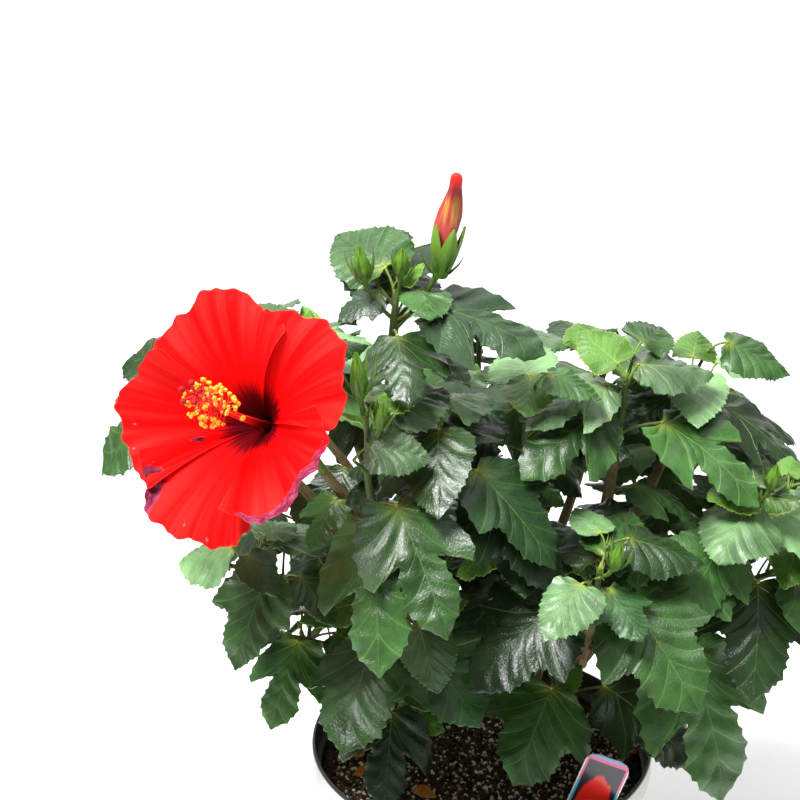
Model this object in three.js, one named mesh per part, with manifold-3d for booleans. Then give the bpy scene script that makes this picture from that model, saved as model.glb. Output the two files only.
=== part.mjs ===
// A red-flowered hibiscus shrub in its nursery pot.
// Millimetres, +Z up. The origin is the centre of the pot's underside, and the plant's front faces -Y.
import * as THREE from 'three';
import { mergeVertices } from 'three/addons/utils/BufferGeometryUtils.js';
import Module from 'manifold-3d';

const wasm = await Module();
wasm.setup();

// Driving sizes
const GAP = 0.3;
const POT = { height: 170, rim: 102.5, band: 16, base: 76, wall: 2.2, floor: 3, step: 3, sides: 30 };
const DRAIN = { count: 6, radius: 6, reach: 14, rise: 4 };
const SOIL = { level: 152, sides: 30 };
const CROWN_RADIUS = 236;
const LABEL = {
  width: 26, height: 92, point: 26, tip: 3, thick: 0.9, sunk: 42,
  at: [42, -60], lean: 18, turn: -8,
};
const FLARE = { share: 0.06, reach: 0.5 };

// Stems: the middle line from the soil to the fork, and the radius at the foot and at the tip
const FOOT = SOIL.level - 3;
const STEMS = {
  stem_left: { path: [[-44, 18, FOOT], [-47, 14, 212], [-50, 8, 268]], foot: 7, tip: 5.2 },
  stem_right: { path: [[46, 32, FOOT], [52, 28, 190], [62, 20, 228]], foot: 8.5, tip: 6.4 },
  stem_middle: { path: [[24, 40, FOOT], [38, 46, 210], [36, 52, 262]], foot: 6, tip: 4.8 },
};

// Boughs: the stem each grows from, the share of that stem's length where it leaves, and its own line
const BOUGHS = {
  bough_top: {
    on: 'stem_left', at: 1, path: [[-60, 12, 330], [-55, 5, 395], [-53, 1, 430]], foot: 4.4, tip: 2.8,
  },
  bough_bloom: { on: 'stem_left', at: 0.97, path: [[-72, 2, 315], [-92, -6, 350]], foot: 3.8, tip: 2.8 },
  bough_behind_bloom: {
    on: 'stem_left', at: 0.9, path: [[-70, 30, 318], [-98, 34, 360]], foot: 3.4, tip: 2.2,
  },
  bough_left: { on: 'stem_left', at: 0.82, path: [[-94, 20, 312], [-146, 8, 378]], foot: 3.8, tip: 2.4 },
  bough_low_left: { on: 'stem_left', at: 0.74, path: [[-82, -4, 272], [-110, -16, 286]], foot: 3, tip: 2 },
  bough_front_left: {
    on: 'stem_left', at: 0.94, path: [[-56, -18, 300], [-62, -38, 338]], foot: 3.6, tip: 2.6,
  },
  bough_centre: { on: 'stem_left', at: 0.98, path: [[-34, -2, 305], [-30, -18, 345]], foot: 3.4, tip: 2.2 },
  bough_back_left: {
    on: 'stem_left', at: 0.86, path: [[-66, 52, 312], [-84, 84, 350]], foot: 3.6, tip: 2.4,
  },
  bough_lower_left: { on: 'stem_left', at: 0.5, path: [[-72, 2, 226], [-98, -8, 240]], foot: 3, tip: 2 },
  bough_base_left: {
    on: 'stem_left', at: 0.42, path: [[-50, -4, 206], [-52, -20, 205]], foot: 2.6, tip: 1.8,
  },
  bough_front_low: {
    on: 'stem_left', at: 0.66, path: [[-50, -8, 246], [-52, -22, 252]], foot: 2.6, tip: 1.8,
  },
  bough_back_low_left: {
    on: 'stem_left', at: 0.56, path: [[-70, 44, 238], [-96, 70, 262]], foot: 3, tip: 2,
  },
  bough_front: { on: 'stem_right', at: 1, path: [[62, -8, 255], [60, -36, 280]], foot: 4.4, tip: 3 },
  bough_front_centre: { on: 'stem_right', at: 0.94, path: [[44, 4, 248], [34, -8, 268]], foot: 3, tip: 2 },
  bough_right: { on: 'stem_right', at: 0.98, path: [[98, 12, 262], [134, 2, 296]], foot: 4.6, tip: 3 },
  bough_far_right: {
    on: 'stem_right', at: 0.86, path: [[112, 24, 244], [154, 14, 268]], foot: 3.6, tip: 2.4,
  },
  bough_low_right: { on: 'stem_right', at: 0.9, path: [[80, 2, 232], [94, -10, 236]], foot: 3, tip: 2 },
  bough_base_right: { on: 'stem_right', at: 0.4, path: [[50, 8, 194], [46, -6, 202]], foot: 2.8, tip: 1.8 },
  bough_right_top: { on: 'stem_right', at: 0.99, path: [[72, 34, 300], [76, 22, 358]], foot: 4.6, tip: 3 },
  bough_top_right: { on: 'stem_right', at: 0.93, path: [[94, 50, 296], [114, 50, 346]], foot: 4, tip: 2.6 },
  bough_back_right: {
    on: 'stem_right', at: 0.82, path: [[98, 74, 266], [136, 100, 306]], foot: 4, tip: 2.6,
  },
  bough_back_low_right: {
    on: 'stem_right', at: 0.5, path: [[82, 62, 210], [104, 92, 234]], foot: 3.2, tip: 2.2,
  },
  bough_middle: { on: 'stem_middle', at: 1, path: [[30, 36, 310], [24, 14, 350]], foot: 3.6, tip: 2.4 },
  bough_back: { on: 'stem_middle', at: 0.94, path: [[26, 84, 306], [8, 104, 342]], foot: 3.6, tip: 2.4 },
  bough_back_middle: {
    on: 'stem_middle', at: 0.86, path: [[62, 92, 300], [72, 112, 336]], foot: 3.4, tip: 2.2,
  },
  bough_back_low: { on: 'stem_middle', at: 0.5, path: [[22, 84, 232], [4, 108, 256]], foot: 3, tip: 2 },
};

// Masses of leaves: the bough that carries each, the tip of its stem, the length of a full leaf, the droop,
// the bearings of the leaves in front, how many leaves come after them, and how many side twigs
const MASSES = {
  leaves_top: {
    on: 'bough_top', tip: [-50, -1, 461], size: 67, droop: -10,
    bearings: [-140, -20, 95], more: 2, twigs: 0,
  },
  leaves_front_left: {
    on: 'bough_front_left', tip: [-67, -58, 406], size: 74, droop: 14,
    bearings: [-92, -60, 40], more: 5, twigs: 1,
  },
  leaves_centre: {
    on: 'bough_centre', tip: [-28, -30, 396], size: 67, droop: 8,
    bearings: [-38, -62, -15], more: 4, twigs: 1,
  },
  leaves_behind_bloom: {
    on: 'bough_behind_bloom', tip: [-118, 28, 400], size: 58, droop: 6,
    bearings: [-60, 100, -20], more: 4, twigs: 1,
  },
  leaves_left: {
    on: 'bough_left', tip: [-172, -8, 416], size: 62, droop: 6,
    bearings: [-148, -116, 100], more: 4, twigs: 1,
  },
  leaves_low_left: {
    on: 'bough_low_left', tip: [-146, -24, 300], size: 58, droop: 20,
    bearings: [-120, -104, -150], more: 3, twigs: 1,
  },
  leaves_lower_left: {
    on: 'bough_lower_left', tip: [-118, -16, 250], size: 54, droop: 20,
    bearings: [-112, -60], more: 3, twigs: 1,
  },
  leaves_base_left: {
    on: 'bough_base_left', tip: [-53, -34, 203], size: 58, droop: 6,
    bearings: [-92, -40], more: 0, twigs: 0,
  },
  leaves_front_low: {
    on: 'bough_front_low', tip: [-52, -38, 264], size: 70, droop: 6,
    bearings: [-145, -58, 100], more: 1, twigs: 1,
  },
  leaves_back_left: {
    on: 'bough_back_left', tip: [-100, 102, 394], size: 70, droop: 14,
    bearings: [], more: 7, twigs: 1,
  },
  leaves_back_low_left: {
    on: 'bough_back_low_left', tip: [-116, 90, 286], size: 70, droop: 18,
    bearings: [], more: 6, twigs: 1,
  },
  leaves_front: {
    on: 'bough_front', tip: [59, -62, 316], size: 70, droop: 0,
    bearings: [-48, -142, 98, -40], more: 5, twigs: 1,
  },
  leaves_front_centre: {
    on: 'bough_front_centre', tip: [28, -24, 300], size: 67, droop: 0,
    bearings: [-150, 100, 140, -80], more: 2, twigs: 1,
  },
  leaves_right: {
    on: 'bough_right', tip: [154, -12, 336], size: 66, droop: 2,
    bearings: [-165, 122, -120, 98], more: 4, twigs: 1,
  },
  leaves_far_right: {
    on: 'bough_far_right', tip: [182, 4, 292], size: 66, droop: 12,
    bearings: [-95, -40, 60], more: 3, twigs: 1,
  },
  leaves_low_right: {
    on: 'bough_low_right', tip: [108, -20, 242], size: 84, droop: 16,
    bearings: [-62, -20], more: 2, twigs: 1,
  },
  leaves_base_right: {
    on: 'bough_base_right', tip: [40, -20, 212], size: 66, droop: 4,
    bearings: [-45, -106, -160], more: 1, twigs: 0,
  },
  leaves_right_top: {
    on: 'bough_right_top', tip: [76, 0, 404], size: 67, droop: -4,
    bearings: [-40, -140, 118, 48], more: 4, twigs: 1,
  },
  leaves_top_right: {
    on: 'bough_top_right', tip: [120, 44, 390], size: 66, droop: 0,
    bearings: [22, -30, 90], more: 4, twigs: 1,
  },
  leaves_back_right: {
    on: 'bough_back_right', tip: [158, 112, 344], size: 70, droop: 16,
    bearings: [], more: 7, twigs: 1,
  },
  leaves_back_low_right: {
    on: 'bough_back_low_right', tip: [124, 108, 260], size: 70, droop: 20,
    bearings: [], more: 6, twigs: 1,
  },
  leaves_middle: {
    on: 'bough_middle', tip: [24, 4, 398], size: 62, droop: -2,
    bearings: [-125, 130, 60, -60], more: 4, twigs: 1,
  },
  leaves_back: {
    on: 'bough_back', tip: [0, 112, 388], size: 67, droop: 12,
    bearings: [], more: 7, twigs: 1,
  },
  leaves_back_middle: {
    on: 'bough_back_middle', tip: [80, 120, 378], size: 67, droop: 12,
    bearings: [], more: 6, twigs: 1,
  },
  leaves_back_low: {
    on: 'bough_back_low', tip: [-6, 122, 278], size: 70, droop: 18,
    bearings: [], more: 6, twigs: 1,
  },
};

// Growth of a mass: radii, the tilt of the blades to the light, the room kept between things,
// and the bearings, pitches and sizes that a leaf tries before it is left out
const STEM_TIP = 1.3;
const STRAIGHT = 0.42;
const STALK = { radius: 1.1, arch: 1.5 };
const GOLDEN_ANGLE = 137.5;
const LEAN = { front: 0.3, out: 0.3, crown: 220 };
const ROOM = { limb: 1.6, stalk: 2.6, own: 2.2, other: 3 };
const BLOOM_ROOM = { wide: 76, ahead: 110, behind: 60, narrow: 26, widening: 0.5 };
const POT_ROOM = { beside: 8, inside: 12, over: 6 };
const NUDGES = [
  [0, 0], [18, 0], [-18, 0], [0, -14], [0, 14], [36, 0], [-36, 0],
  [18, -14], [-18, -14], [18, 14], [-18, 14], [52, -8], [-52, -8], [0, 28],
];
const SIZES = [1, 0.84, 0.68];

// A leaf's habit: at the tip of its stem, what age adds by the stem's foot, and how far chance moves it.
// Lengths are shares of the mass's full leaf, stalks and the other shares are of the leaf's own length
const YOUNG = { length: 0.5, stalk: 0.3, rise: 62, fold: 0.2, bend: 0.14, width: 0.98 };
const AGED = { length: 0.5, stalk: 0.16, rise: -40, droop: 8, bend: 0.14 };
const CHANCE = { length: 0.07, rise: 8, turn: 6, droop: 8, roll: 14, fold: 0.25, bend: 0.06, width: 0.12 };
const ON_STEM = { foot: 0.08, length: 0.9 };
const OVATE_BELOW_AGE = 0.4;
const LOBED_SHARE = 0.45;

// A side twig, the leaves at its tip, and how far chance moves them
const TWIG = { radius: 1.3, length: 20, rise: 42, from: 0.3, pace: 0.3 };
const TWIG_LEAVES = [
  { spread: -58, size: 0.62, rise: 30 },
  { spread: 62, size: 0.52, rise: 46 },
  { spread: 4, size: 0.42, rise: 62 },
];
const TWIG_LEAF = { stalk: 0.3, droop: 8, fold: 0.2, bend: 0.15, width: 0.95 };
const TWIG_CHANCE = {
  turn: 30, length: 4, size: 0.1, droop: 10, roll: 14, fold: 0.2, bend: 0.06, width: 0.1,
};

// Half outlines of a leaf: shares of its length along the midrib and across, from the notch to the tip
const OUTLINES = {
  ovate: [[-0.06, 0.12], [0.04, 0.34], [0.28, 0.41], [0.6, 0.31], [0.85, 0.13], [1, 0]],
  lobed: [[-0.07, 0.16], [0.1, 0.37], [0.42, 0.49], [0.46, 0.29], [0.76, 0.23], [1, 0]],
  deep: [[-0.09, 0.2], [0.14, 0.39], [0.52, 0.46], [0.4, 0.17], [0.76, 0.2], [1, 0]],
};
const LEAF = { ribs: [0.3, 0.65], thick: 0.024, least: 1.6, crease: 0.04 };

// Where a blade is sampled for room: shares of its length along it, and shares of its half width across.
// The blade's own zone runs a little behind its foot, past its tip and beside its margin
const SAMPLES = {
  along: [-0.05, 0.12, 0.26, 0.4, 0.54, 0.68, 0.82, 0.96],
  across: [-1, -0.66, -0.33, 0, 0.33, 0.66, 1],
};
const ZONE = { behind: 0.14, ahead: 1.05, beside: 0.04, middle: 0.45, reach: 0.62 };

// The open bloom: funnel of five petals, column of stamens, and the green cup behind
const BLOOM = {
  throat: [-121, -50, 398], axis: [-0.378, -0.793, 0.477],
  mouth: 66, depth: 38, neck: 5, flat: 1.25, swell: 1.6, narrowing: 8,
  petals: [
    { turn: 40, reach: 1.06, spread: 44, back: 6 },
    { turn: 112, reach: 1.08, spread: 42, back: 8 },
    { turn: 186, reach: 1.04, spread: 42, back: 2 },
    { turn: 256, reach: 1.1, spread: 40, back: 4 },
    { turn: 326, reach: 0.98, spread: 42, back: 0 },
  ],
  lap: 2.4, thick: 1.1, rings: 4, ribs: 4, round: 0.2,
};
const COLUMN = { radius: 2, length: 80, head: 50, cloud: 12.5 };
const CUP = { length: 25, wide: 9, narrow: 4.2, inside: 4 };
const BLOOM_STALK = { foot: 2.6, tip: 2.2, bend: 12, straight: 0.3 };

// The furled bloom and the buds: the mass that carries each, the share of its stem, the bud's foot and tip
const BUDS = [
  { on: 'leaves_top', from: 0.1, foot: [-28, -5, 466], tip: [-23, -5, 523], wide: 7 },
  { on: 'leaves_top', from: 0.35, foot: [-69, -9, 463], tip: [-71, -10, 484], wide: 6 },
  { on: 'leaves_top', from: 0.6, foot: [-49, -6, 466], tip: [-48, -7, 482], wide: 5 },
  { on: 'leaves_front_left', from: 0.9, foot: [-70, -59, 417], tip: [-72, -62, 444], wide: 5.5 },
  { on: 'leaves_front_left', from: 0.7, foot: [-60, -64, 402], tip: [-58, -68, 418], wide: 4 },
  { on: 'leaves_right', from: 0.95, foot: [158, -16, 344], tip: [160, -19, 360], wide: 5 },
  { on: 'leaves_front', from: 0.95, foot: [66, -66, 320], tip: [69, -69, 337], wide: 5 },
];
const BUD = { sides: 6, pedicel: 1.3, sag: 2, sunk: 0.1, neck: 0.16, from: 0.12, reach: 0.78 };

// Looks
const LOOKS = {
  pot: { color: 0x23241f, roughness: 0.5 },
  soil: { color: 0x3a2a1e, roughness: 0.95 },
  label: { color: 0xe9e6e0, roughness: 0.4 },
  bark: { color: 0x9a7448, roughness: 0.8 },
  leaf: { color: 0x2c5230, roughness: 0.35 },
  bloom: { color: 0xd8141c, roughness: 0.6 },
};

// Vectors as plain lists of three numbers
const add = (a, b) => [a[0] + b[0], a[1] + b[1], a[2] + b[2]];
const sub = (a, b) => [a[0] - b[0], a[1] - b[1], a[2] - b[2]];
const mul = (a, k) => [a[0] * k, a[1] * k, a[2] * k];
const dot = (a, b) => a[0] * b[0] + a[1] * b[1] + a[2] * b[2];
const cross = (a, b) => [
  a[1] * b[2] - a[2] * b[1],
  a[2] * b[0] - a[0] * b[2],
  a[0] * b[1] - a[1] * b[0],
];
const unit = (a) => mul(a, 1 / Math.sqrt(dot(a, a)));
const between = (a, b, share) => add(mul(a, 1 - share), mul(b, share));
const radians = (degrees) => (degrees * Math.PI) / 180;
const UP = [0, 0, 1];

function towards(bearing, rise) {
  const b = radians(bearing);
  const r = radians(rise);
  return [Math.cos(b) * Math.cos(r), Math.sin(b) * Math.cos(r), Math.sin(r)];
}

// A seeded run of even numbers between 0 and 1
class Dice {
  constructor(seed) {
    this.state = seed;
    this.roll();
    this.roll();
    this.roll();
  }

  roll() {
    this.state = (this.state * 16807) % 2147483647;
    return this.state / 2147483647;
  }

  swing(reach) {
    return (2 * this.roll() - 1) * reach;
  }
}

// The point at a share of the smooth line through a path's points
function along(path, share) {
  const spans = path.length - 1;
  const k = Math.min(Math.floor(share * spans), spans - 1);
  const t = share * spans - k;
  const b = path[k];
  const c = path[k + 1];
  const a = k > 0 ? path[k - 1] : sub(mul(b, 2), c);
  const d = k + 2 <= spans ? path[k + 2] : sub(mul(c, 2), b);
  return b.map((_, i) => {
    const slope = c[i] - a[i];
    const curve = 2 * a[i] - 5 * b[i] + 4 * c[i] - d[i];
    const twist = 3 * b[i] - a[i] - 3 * c[i] + d[i];
    return 0.5 * (2 * b[i] + slope * t + curve * t * t + twist * t * t * t);
  });
}

function lengthOf(path) {
  let length = 0;
  for (let i = 1; i < path.length; i += 1) {
    const step = sub(path[i], path[i - 1]);
    length += Math.sqrt(dot(step, step));
  }
  return length;
}

// Solids

function solidOf(geometry) {
  geometry.deleteAttribute('normal');
  geometry.deleteAttribute('uv');
  const merged = mergeVertices(geometry, 1e-4);
  return new wasm.Manifold(new wasm.Mesh({
    numProp: 3,
    vertProperties: Float32Array.from(merged.attributes.position.array),
    triVerts: Uint32Array.from(merged.index.array),
  }));
}

function geometryOf(solid) {
  const mesh = solid.getMesh();
  const geometry = new THREE.BufferGeometry();
  geometry.setAttribute('position', new THREE.BufferAttribute(Float32Array.from(mesh.vertProperties), 3));
  geometry.setIndex(new THREE.BufferAttribute(Uint32Array.from(mesh.triVerts), 1));
  geometry.computeVertexNormals();
  return geometry;
}

function largestPiece(solid) {
  return solid.decompose().reduce((best, piece) => (piece.volume() > best.volume() ? piece : best));
}

function fuse(solids) {
  return largestPiece(wasm.Manifold.union(solids));
}

// A tapering limb: a cylinder whose rings are carried onto a path
function limb(path, radiusAt, sides, steps) {
  const shape = new THREE.CylinderGeometry(1, 1, 1, sides, steps);
  const frames = [];
  let across = null;
  for (let k = 0; k <= steps; k += 1) {
    const share = k / steps;
    const before = along(path, Math.max(share - 0.01, 0));
    const after = along(path, Math.min(share + 0.01, 1));
    const ahead = unit(sub(after, before));
    const guide = across ?? (Math.abs(ahead[0]) < 0.8 ? [1, 0, 0] : [0, 1, 0]);
    across = unit(sub(guide, mul(ahead, dot(guide, ahead))));
    frames.push({ centre: along(path, share), across, over: cross(across, ahead), radius: radiusAt(share) });
  }
  const points = shape.attributes.position;
  for (let i = 0; i < points.count; i += 1) {
    const frame = frames[Math.round((points.getY(i) + 0.5) * steps)];
    const right = mul(frame.across, points.getX(i) * frame.radius);
    const up = mul(frame.over, points.getZ(i) * frame.radius);
    points.setXYZ(i, ...add(frame.centre, add(right, up)));
  }
  return solidOf(shape);
}

const taper = (foot, tip) => (share) => foot + (tip - foot) * share;

function ball(centre, radius) {
  const shape = new THREE.IcosahedronGeometry(radius, 1);
  shape.translate(...centre);
  return solidOf(shape);
}

// Pot, soil and label

function potSolid() {
  const { height, rim, band, base, wall, floor, step } = POT;
  const shoulder = height - band;
  const shoulderRadius = rim - step;
  const profile = [
    [0, 0], [base, 0], [shoulderRadius, shoulder], [rim, shoulder], [rim, height],
    [rim - wall, height], [rim - wall, shoulder + wall], [shoulderRadius - wall, shoulder],
    [base - wall, floor], [0, floor],
  ];
  const shape = new THREE.LatheGeometry(profile.map(([x, y]) => new THREE.Vector2(x, y)), POT.sides);
  shape.rotateX(Math.PI / 2);
  let pot = solidOf(shape);
  for (let i = 0; i < DRAIN.count; i += 1) {
    const hole = new THREE.CylinderGeometry(DRAIN.radius, DRAIN.radius, DRAIN.reach, 8);
    hole.rotateZ(Math.PI / 2);
    hole.translate(base, 0, DRAIN.radius + DRAIN.rise);
    hole.rotateZ(((i + 0.5) * 2 * Math.PI) / DRAIN.count);
    pot = pot.subtract(solidOf(hole));
  }
  return pot;
}

// Radius of the pot's inner wall at a height below the shoulder
function innerRadius(z) {
  const top = POT.height - POT.band;
  const radiusAtTop = POT.rim - POT.step - POT.wall;
  return POT.base - POT.wall + ((radiusAtTop - POT.base + POT.wall) * (z - POT.floor)) / (top - POT.floor);
}

function soilSolid() {
  const foot = POT.floor + GAP;
  const profile = [
    [0, foot], [innerRadius(foot) - 2 * GAP, foot],
    [innerRadius(SOIL.level) - 2 * GAP, SOIL.level], [0, SOIL.level],
  ];
  const shape = new THREE.LatheGeometry(profile.map(([x, y]) => new THREE.Vector2(x, y)), SOIL.sides);
  shape.rotateX(Math.PI / 2);
  return solidOf(shape);
}

// Turns the label from its own plane, with its point at the origin, to its place in the soil
function placeLabel(shape) {
  shape.rotateX(Math.PI / 2);
  shape.rotateY(radians(LABEL.lean));
  shape.rotateZ(radians(LABEL.turn));
  shape.translate(LABEL.at[0], LABEL.at[1], SOIL.level - LABEL.sunk);
}

// A point of the label's plane in the plant's frame
function onLabel(x, y) {
  const lean = radians(LABEL.lean);
  const turn = radians(LABEL.turn);
  const aside = x * Math.cos(lean) + y * Math.sin(lean);
  const height = y * Math.cos(lean) - x * Math.sin(lean);
  return [
    LABEL.at[0] + aside * Math.cos(turn),
    LABEL.at[1] + aside * Math.sin(turn),
    SOIL.level - LABEL.sunk + height,
  ];
}

function labelSolid(extra) {
  const half = LABEL.width / 2 + extra;
  const shoulder = LABEL.point;
  const card = new THREE.Shape();
  card.moveTo(-LABEL.tip - extra, -extra);
  card.lineTo(LABEL.tip + extra, -extra);
  card.lineTo(half, shoulder);
  card.lineTo(half, LABEL.height + extra);
  card.lineTo(-half, LABEL.height + extra);
  card.lineTo(-half, shoulder);
  card.closePath();
  const shape = new THREE.ExtrudeGeometry(card, { depth: LABEL.thick + 2 * extra, bevelEnabled: false });
  shape.translate(0, 0, -LABEL.thick / 2 - extra);
  placeLabel(shape);
  return solidOf(shape);
}

// Stems and boughs

for (const bough of Object.values(BOUGHS)) {
  bough.path = [along(STEMS[bough.on].path, bough.at), ...bough.path];
}

function flared(stem) {
  return (share) => {
    const flare = FLARE.reach * Math.exp(-share / FLARE.share);
    return stem.foot + (stem.tip - stem.foot) * share + stem.foot * flare;
  };
}

function stemSolid(stem, extra) {
  const radiusAt = flared(stem);
  return limb(stem.path, (share) => radiusAt(share) + extra, 9, 8);
}

// All that lies below the level cut of the stems' feet
function groundSolid() {
  const depth = 40;
  const shape = new THREE.BoxGeometry(4 * POT.rim, 4 * POT.rim, depth);
  shape.translate(0, 0, SOIL.level + GAP - depth / 2);
  return solidOf(shape);
}

function boughSolid(bough, extra) {
  return limb(bough.path, (share) => taper(bough.foot, bough.tip)(share) + extra, 6, 4);
}

// A limb's own length of clear space past its tip, so that what is cut by it stands off its end too
function pastTip(path) {
  const last = path[path.length - 1];
  return [...path.slice(0, -1), add(last, mul(unit(sub(last, path[path.length - 2])), GAP))];
}

// Leaves

// The greatest half width of any blade at a share of its length
function halfWidth(x) {
  if (x < 0) return 0.3;
  return x < 0.5 ? 0.32 + 0.4 * x : 0.04 + 0.96 * (1 - x);
}

function sheetHeight(leaf, x, y) {
  const aside = Math.sqrt(y * y + LEAF.crease * LEAF.crease) - LEAF.crease;
  return -leaf.fold * aside - leaf.bend * Math.max(x, 0) ** 2;
}

// A point of the blade, from shares of its length along and across, to the plant's frame
function onLeaf(leaf, x, y, lift = 0) {
  const z = sheetHeight(leaf, x, y) + lift;
  const place = add(add(mul(leaf.out, x), mul(leaf.side, y)), mul(leaf.up, z));
  return add(leaf.base, mul(place, leaf.length));
}

function makeLeaf(foot, base, bearing, droop, shape) {
  const lean = [
    (LEAN.out * base[0]) / LEAN.crown,
    (LEAN.out * base[1]) / LEAN.crown - LEAN.front,
    0,
  ];
  const ahead = towards(bearing, -droop);
  const up = unit(add(cross(ahead, unit(cross(UP, ahead))), lean));
  const side = unit(cross(up, ahead));
  const c = Math.cos(radians(shape.roll));
  const s = Math.sin(radians(shape.roll));
  const leaf = { ...shape, foot, base };
  leaf.out = cross(side, up);
  leaf.side = add(mul(side, c), mul(up, s));
  leaf.up = sub(mul(up, c), mul(side, s));
  leaf.middle = onLeaf(leaf, ZONE.middle, 0);
  leaf.points = [];
  for (const x of SAMPLES.along) {
    for (const share of SAMPLES.across) leaf.points.push(onLeaf(leaf, x, share * halfWidth(x) * leaf.width));
  }
  return leaf;
}

function nearBlade(leaf, point, room) {
  const away = sub(point, leaf.base);
  const x = dot(away, leaf.out) / leaf.length;
  if (x < -ZONE.behind || x > ZONE.ahead) return false;
  const y = dot(away, leaf.side) / leaf.length;
  if (Math.abs(y) > halfWidth(x) * leaf.width + ZONE.beside) return false;
  const z = dot(away, leaf.up) / leaf.length - sheetHeight(leaf, x, y);
  return Math.abs(z) * leaf.length < room;
}

function bladesMeet(a, b, room) {
  const reach = ZONE.reach * (a.length + b.length);
  const apart = sub(a.middle, b.middle);
  if (dot(apart, apart) > reach * reach) return false;
  return a.points.some((p) => nearBlade(b, p, room)) || b.points.some((p) => nearBlade(a, p, room));
}

const AXIS = unit(BLOOM.axis);

function inBloom(point) {
  const away = sub(point, BLOOM.throat);
  const ahead = dot(away, AXIS);
  const aside = Math.sqrt(Math.max(dot(away, away) - ahead * ahead, 0));
  const { wide, behind, narrow, widening } = BLOOM_ROOM;
  if (ahead > 0) return aside < wide && ahead < BLOOM_ROOM.ahead;
  return ahead > -behind && aside < narrow + widening * (ahead + behind);
}

function inPot(point) {
  const radius = Math.hypot(point[0], point[1]);
  if (radius > POT.rim + POT_ROOM.beside) return false;
  const nearRim = radius > POT.rim - POT_ROOM.inside && point[2] < POT.height + POT_ROOM.over;
  return nearRim || point[2] < SOIL.level + POT_ROOM.over;
}

function outOfSpace(point) {
  return inBloom(point) || inPot(point) || Math.hypot(point[0], point[1]) > CROWN_RADIUS;
}

// Points along everything that is a stick, each with its owner and radius
const STICK_PACE = 5;
const sticks = [];

function addStick(owner, path, foot, tip) {
  const count = Math.ceil(lengthOf(path) / STICK_PACE);
  for (let k = 0; k <= count; k += 1) {
    sticks.push({ owner, at: along(path, k / count), radius: foot + ((tip - foot) * k) / count });
  }
}

function stalkPath(leaf) {
  const middle = add(between(leaf.foot, leaf.base, 0.5), [0, 0, STALK.arch]);
  return [leaf.foot, middle, leaf.base];
}

function fits(leaf, mass, placed) {
  if (leaf.points.some(outOfSpace)) return false;
  for (const stick of sticks) {
    if (nearBlade(leaf, stick.at, stick.radius + ROOM.limb)) return false;
  }
  const stalk = stalkPath(leaf);
  const stalkPoints = [0.25, 0.5, 0.75, 1].map((share) => along(stalk, share));
  for (const point of stalkPoints) {
    if (inBloom(point) || inPot(point)) return false;
    for (const stick of sticks) {
      const room = stick.radius + STALK.radius + ROOM.limb;
      const apart = sub(stick.at, point);
      if (stick.owner !== mass && dot(apart, apart) < room * room) return false;
    }
  }
  for (const other of placed) {
    const room = other.mass === mass ? ROOM.own : ROOM.other;
    if (bladesMeet(leaf, other.leaf, room)) return false;
    if (stalkPoints.some((point) => nearBlade(other.leaf, point, ROOM.stalk))) return false;
  }
  return true;
}

// The middle of the widest gap between bearings
function widestGap(bearings, salt) {
  if (bearings.length === 0) return (salt * GOLDEN_ANGLE) % 360;
  if (bearings.length === 1) return (bearings[0] + GOLDEN_ANGLE + 360) % 360;
  const sorted = bearings.map((b) => ((b % 360) + 360) % 360).sort((a, b) => a - b);
  let widest = -1;
  let middle = 0;
  sorted.forEach((bearing, i) => {
    const next = i + 1 < sorted.length ? sorted[i + 1] : sorted[0] + 360;
    if (next - bearing > widest + 1e-6) {
      widest = next - bearing;
      middle = bearing + widest / 2;
    }
  });
  return middle % 360;
}

// The line that runs on from just past a bough's tip, straight at first and then to an end of its own
function lineOn(bough, end, straight) {
  const tip = bough.path[bough.path.length - 1];
  const lead = unit(sub(tip, bough.path[bough.path.length - 2]));
  const foot = add(tip, mul(lead, GAP));
  return [foot, add(foot, mul(lead, straight * lengthOf([foot, end]))), end];
}

// A leaf's place is tried at each size, bearing and pitch in turn until it fits
function tryLeaf(name, foot, bearing, rise, stalk, droop, shape, placed) {
  for (const size of SIZES) {
    for (const [turn, pitch] of NUDGES) {
      const reach = mul(towards(bearing + turn, rise), stalk * (0.5 + 0.5 * size));
      const sized = { ...shape, length: shape.length * size };
      const leaf = makeLeaf(foot, add(foot, reach), bearing + turn, droop + pitch, sized);
      if (fits(leaf, name, placed)) {
        placed.push({ mass: name, leaf });
        addStick(name, stalkPath(leaf), STALK.radius, STALK.radius);
        return true;
      }
    }
  }
  return false;
}

function growLeaf(mass, number, bearing, placed) {
  const dice = new Dice(mass.number * 7919 + number * 104729 + 17);
  const total = mass.bearings.length + mass.more;
  const age = 1 - number / Math.max(total - 1, 1);
  const grown = YOUNG.length + AGED.length * Math.sqrt(age);
  const length = mass.size * grown * (1 + dice.swing(CHANCE.length));
  const stalk = length * (YOUNG.stalk + AGED.stalk * age);
  const rise = YOUNG.rise + AGED.rise * age + dice.swing(CHANCE.rise);
  const turn = bearing + dice.swing(CHANCE.turn);
  const droop = mass.droop + AGED.droop * age + dice.swing(CHANCE.droop);
  const roll = dice.swing(CHANCE.roll);
  const cut = dice.roll() < LOBED_SHARE ? 'lobed' : 'deep';
  const shape = {
    length,
    roll,
    kind: age < OVATE_BELOW_AGE ? 'ovate' : cut,
    fold: YOUNG.fold + dice.swing(CHANCE.fold),
    bend: YOUNG.bend + AGED.bend * age + dice.swing(CHANCE.bend),
    width: YOUNG.width + dice.swing(CHANCE.width),
  };
  const foot = along(mass.stem, ON_STEM.foot + ON_STEM.length * (1 - age));
  tryLeaf(mass.name, foot, turn, rise, stalk, droop, shape, placed);
}

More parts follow.
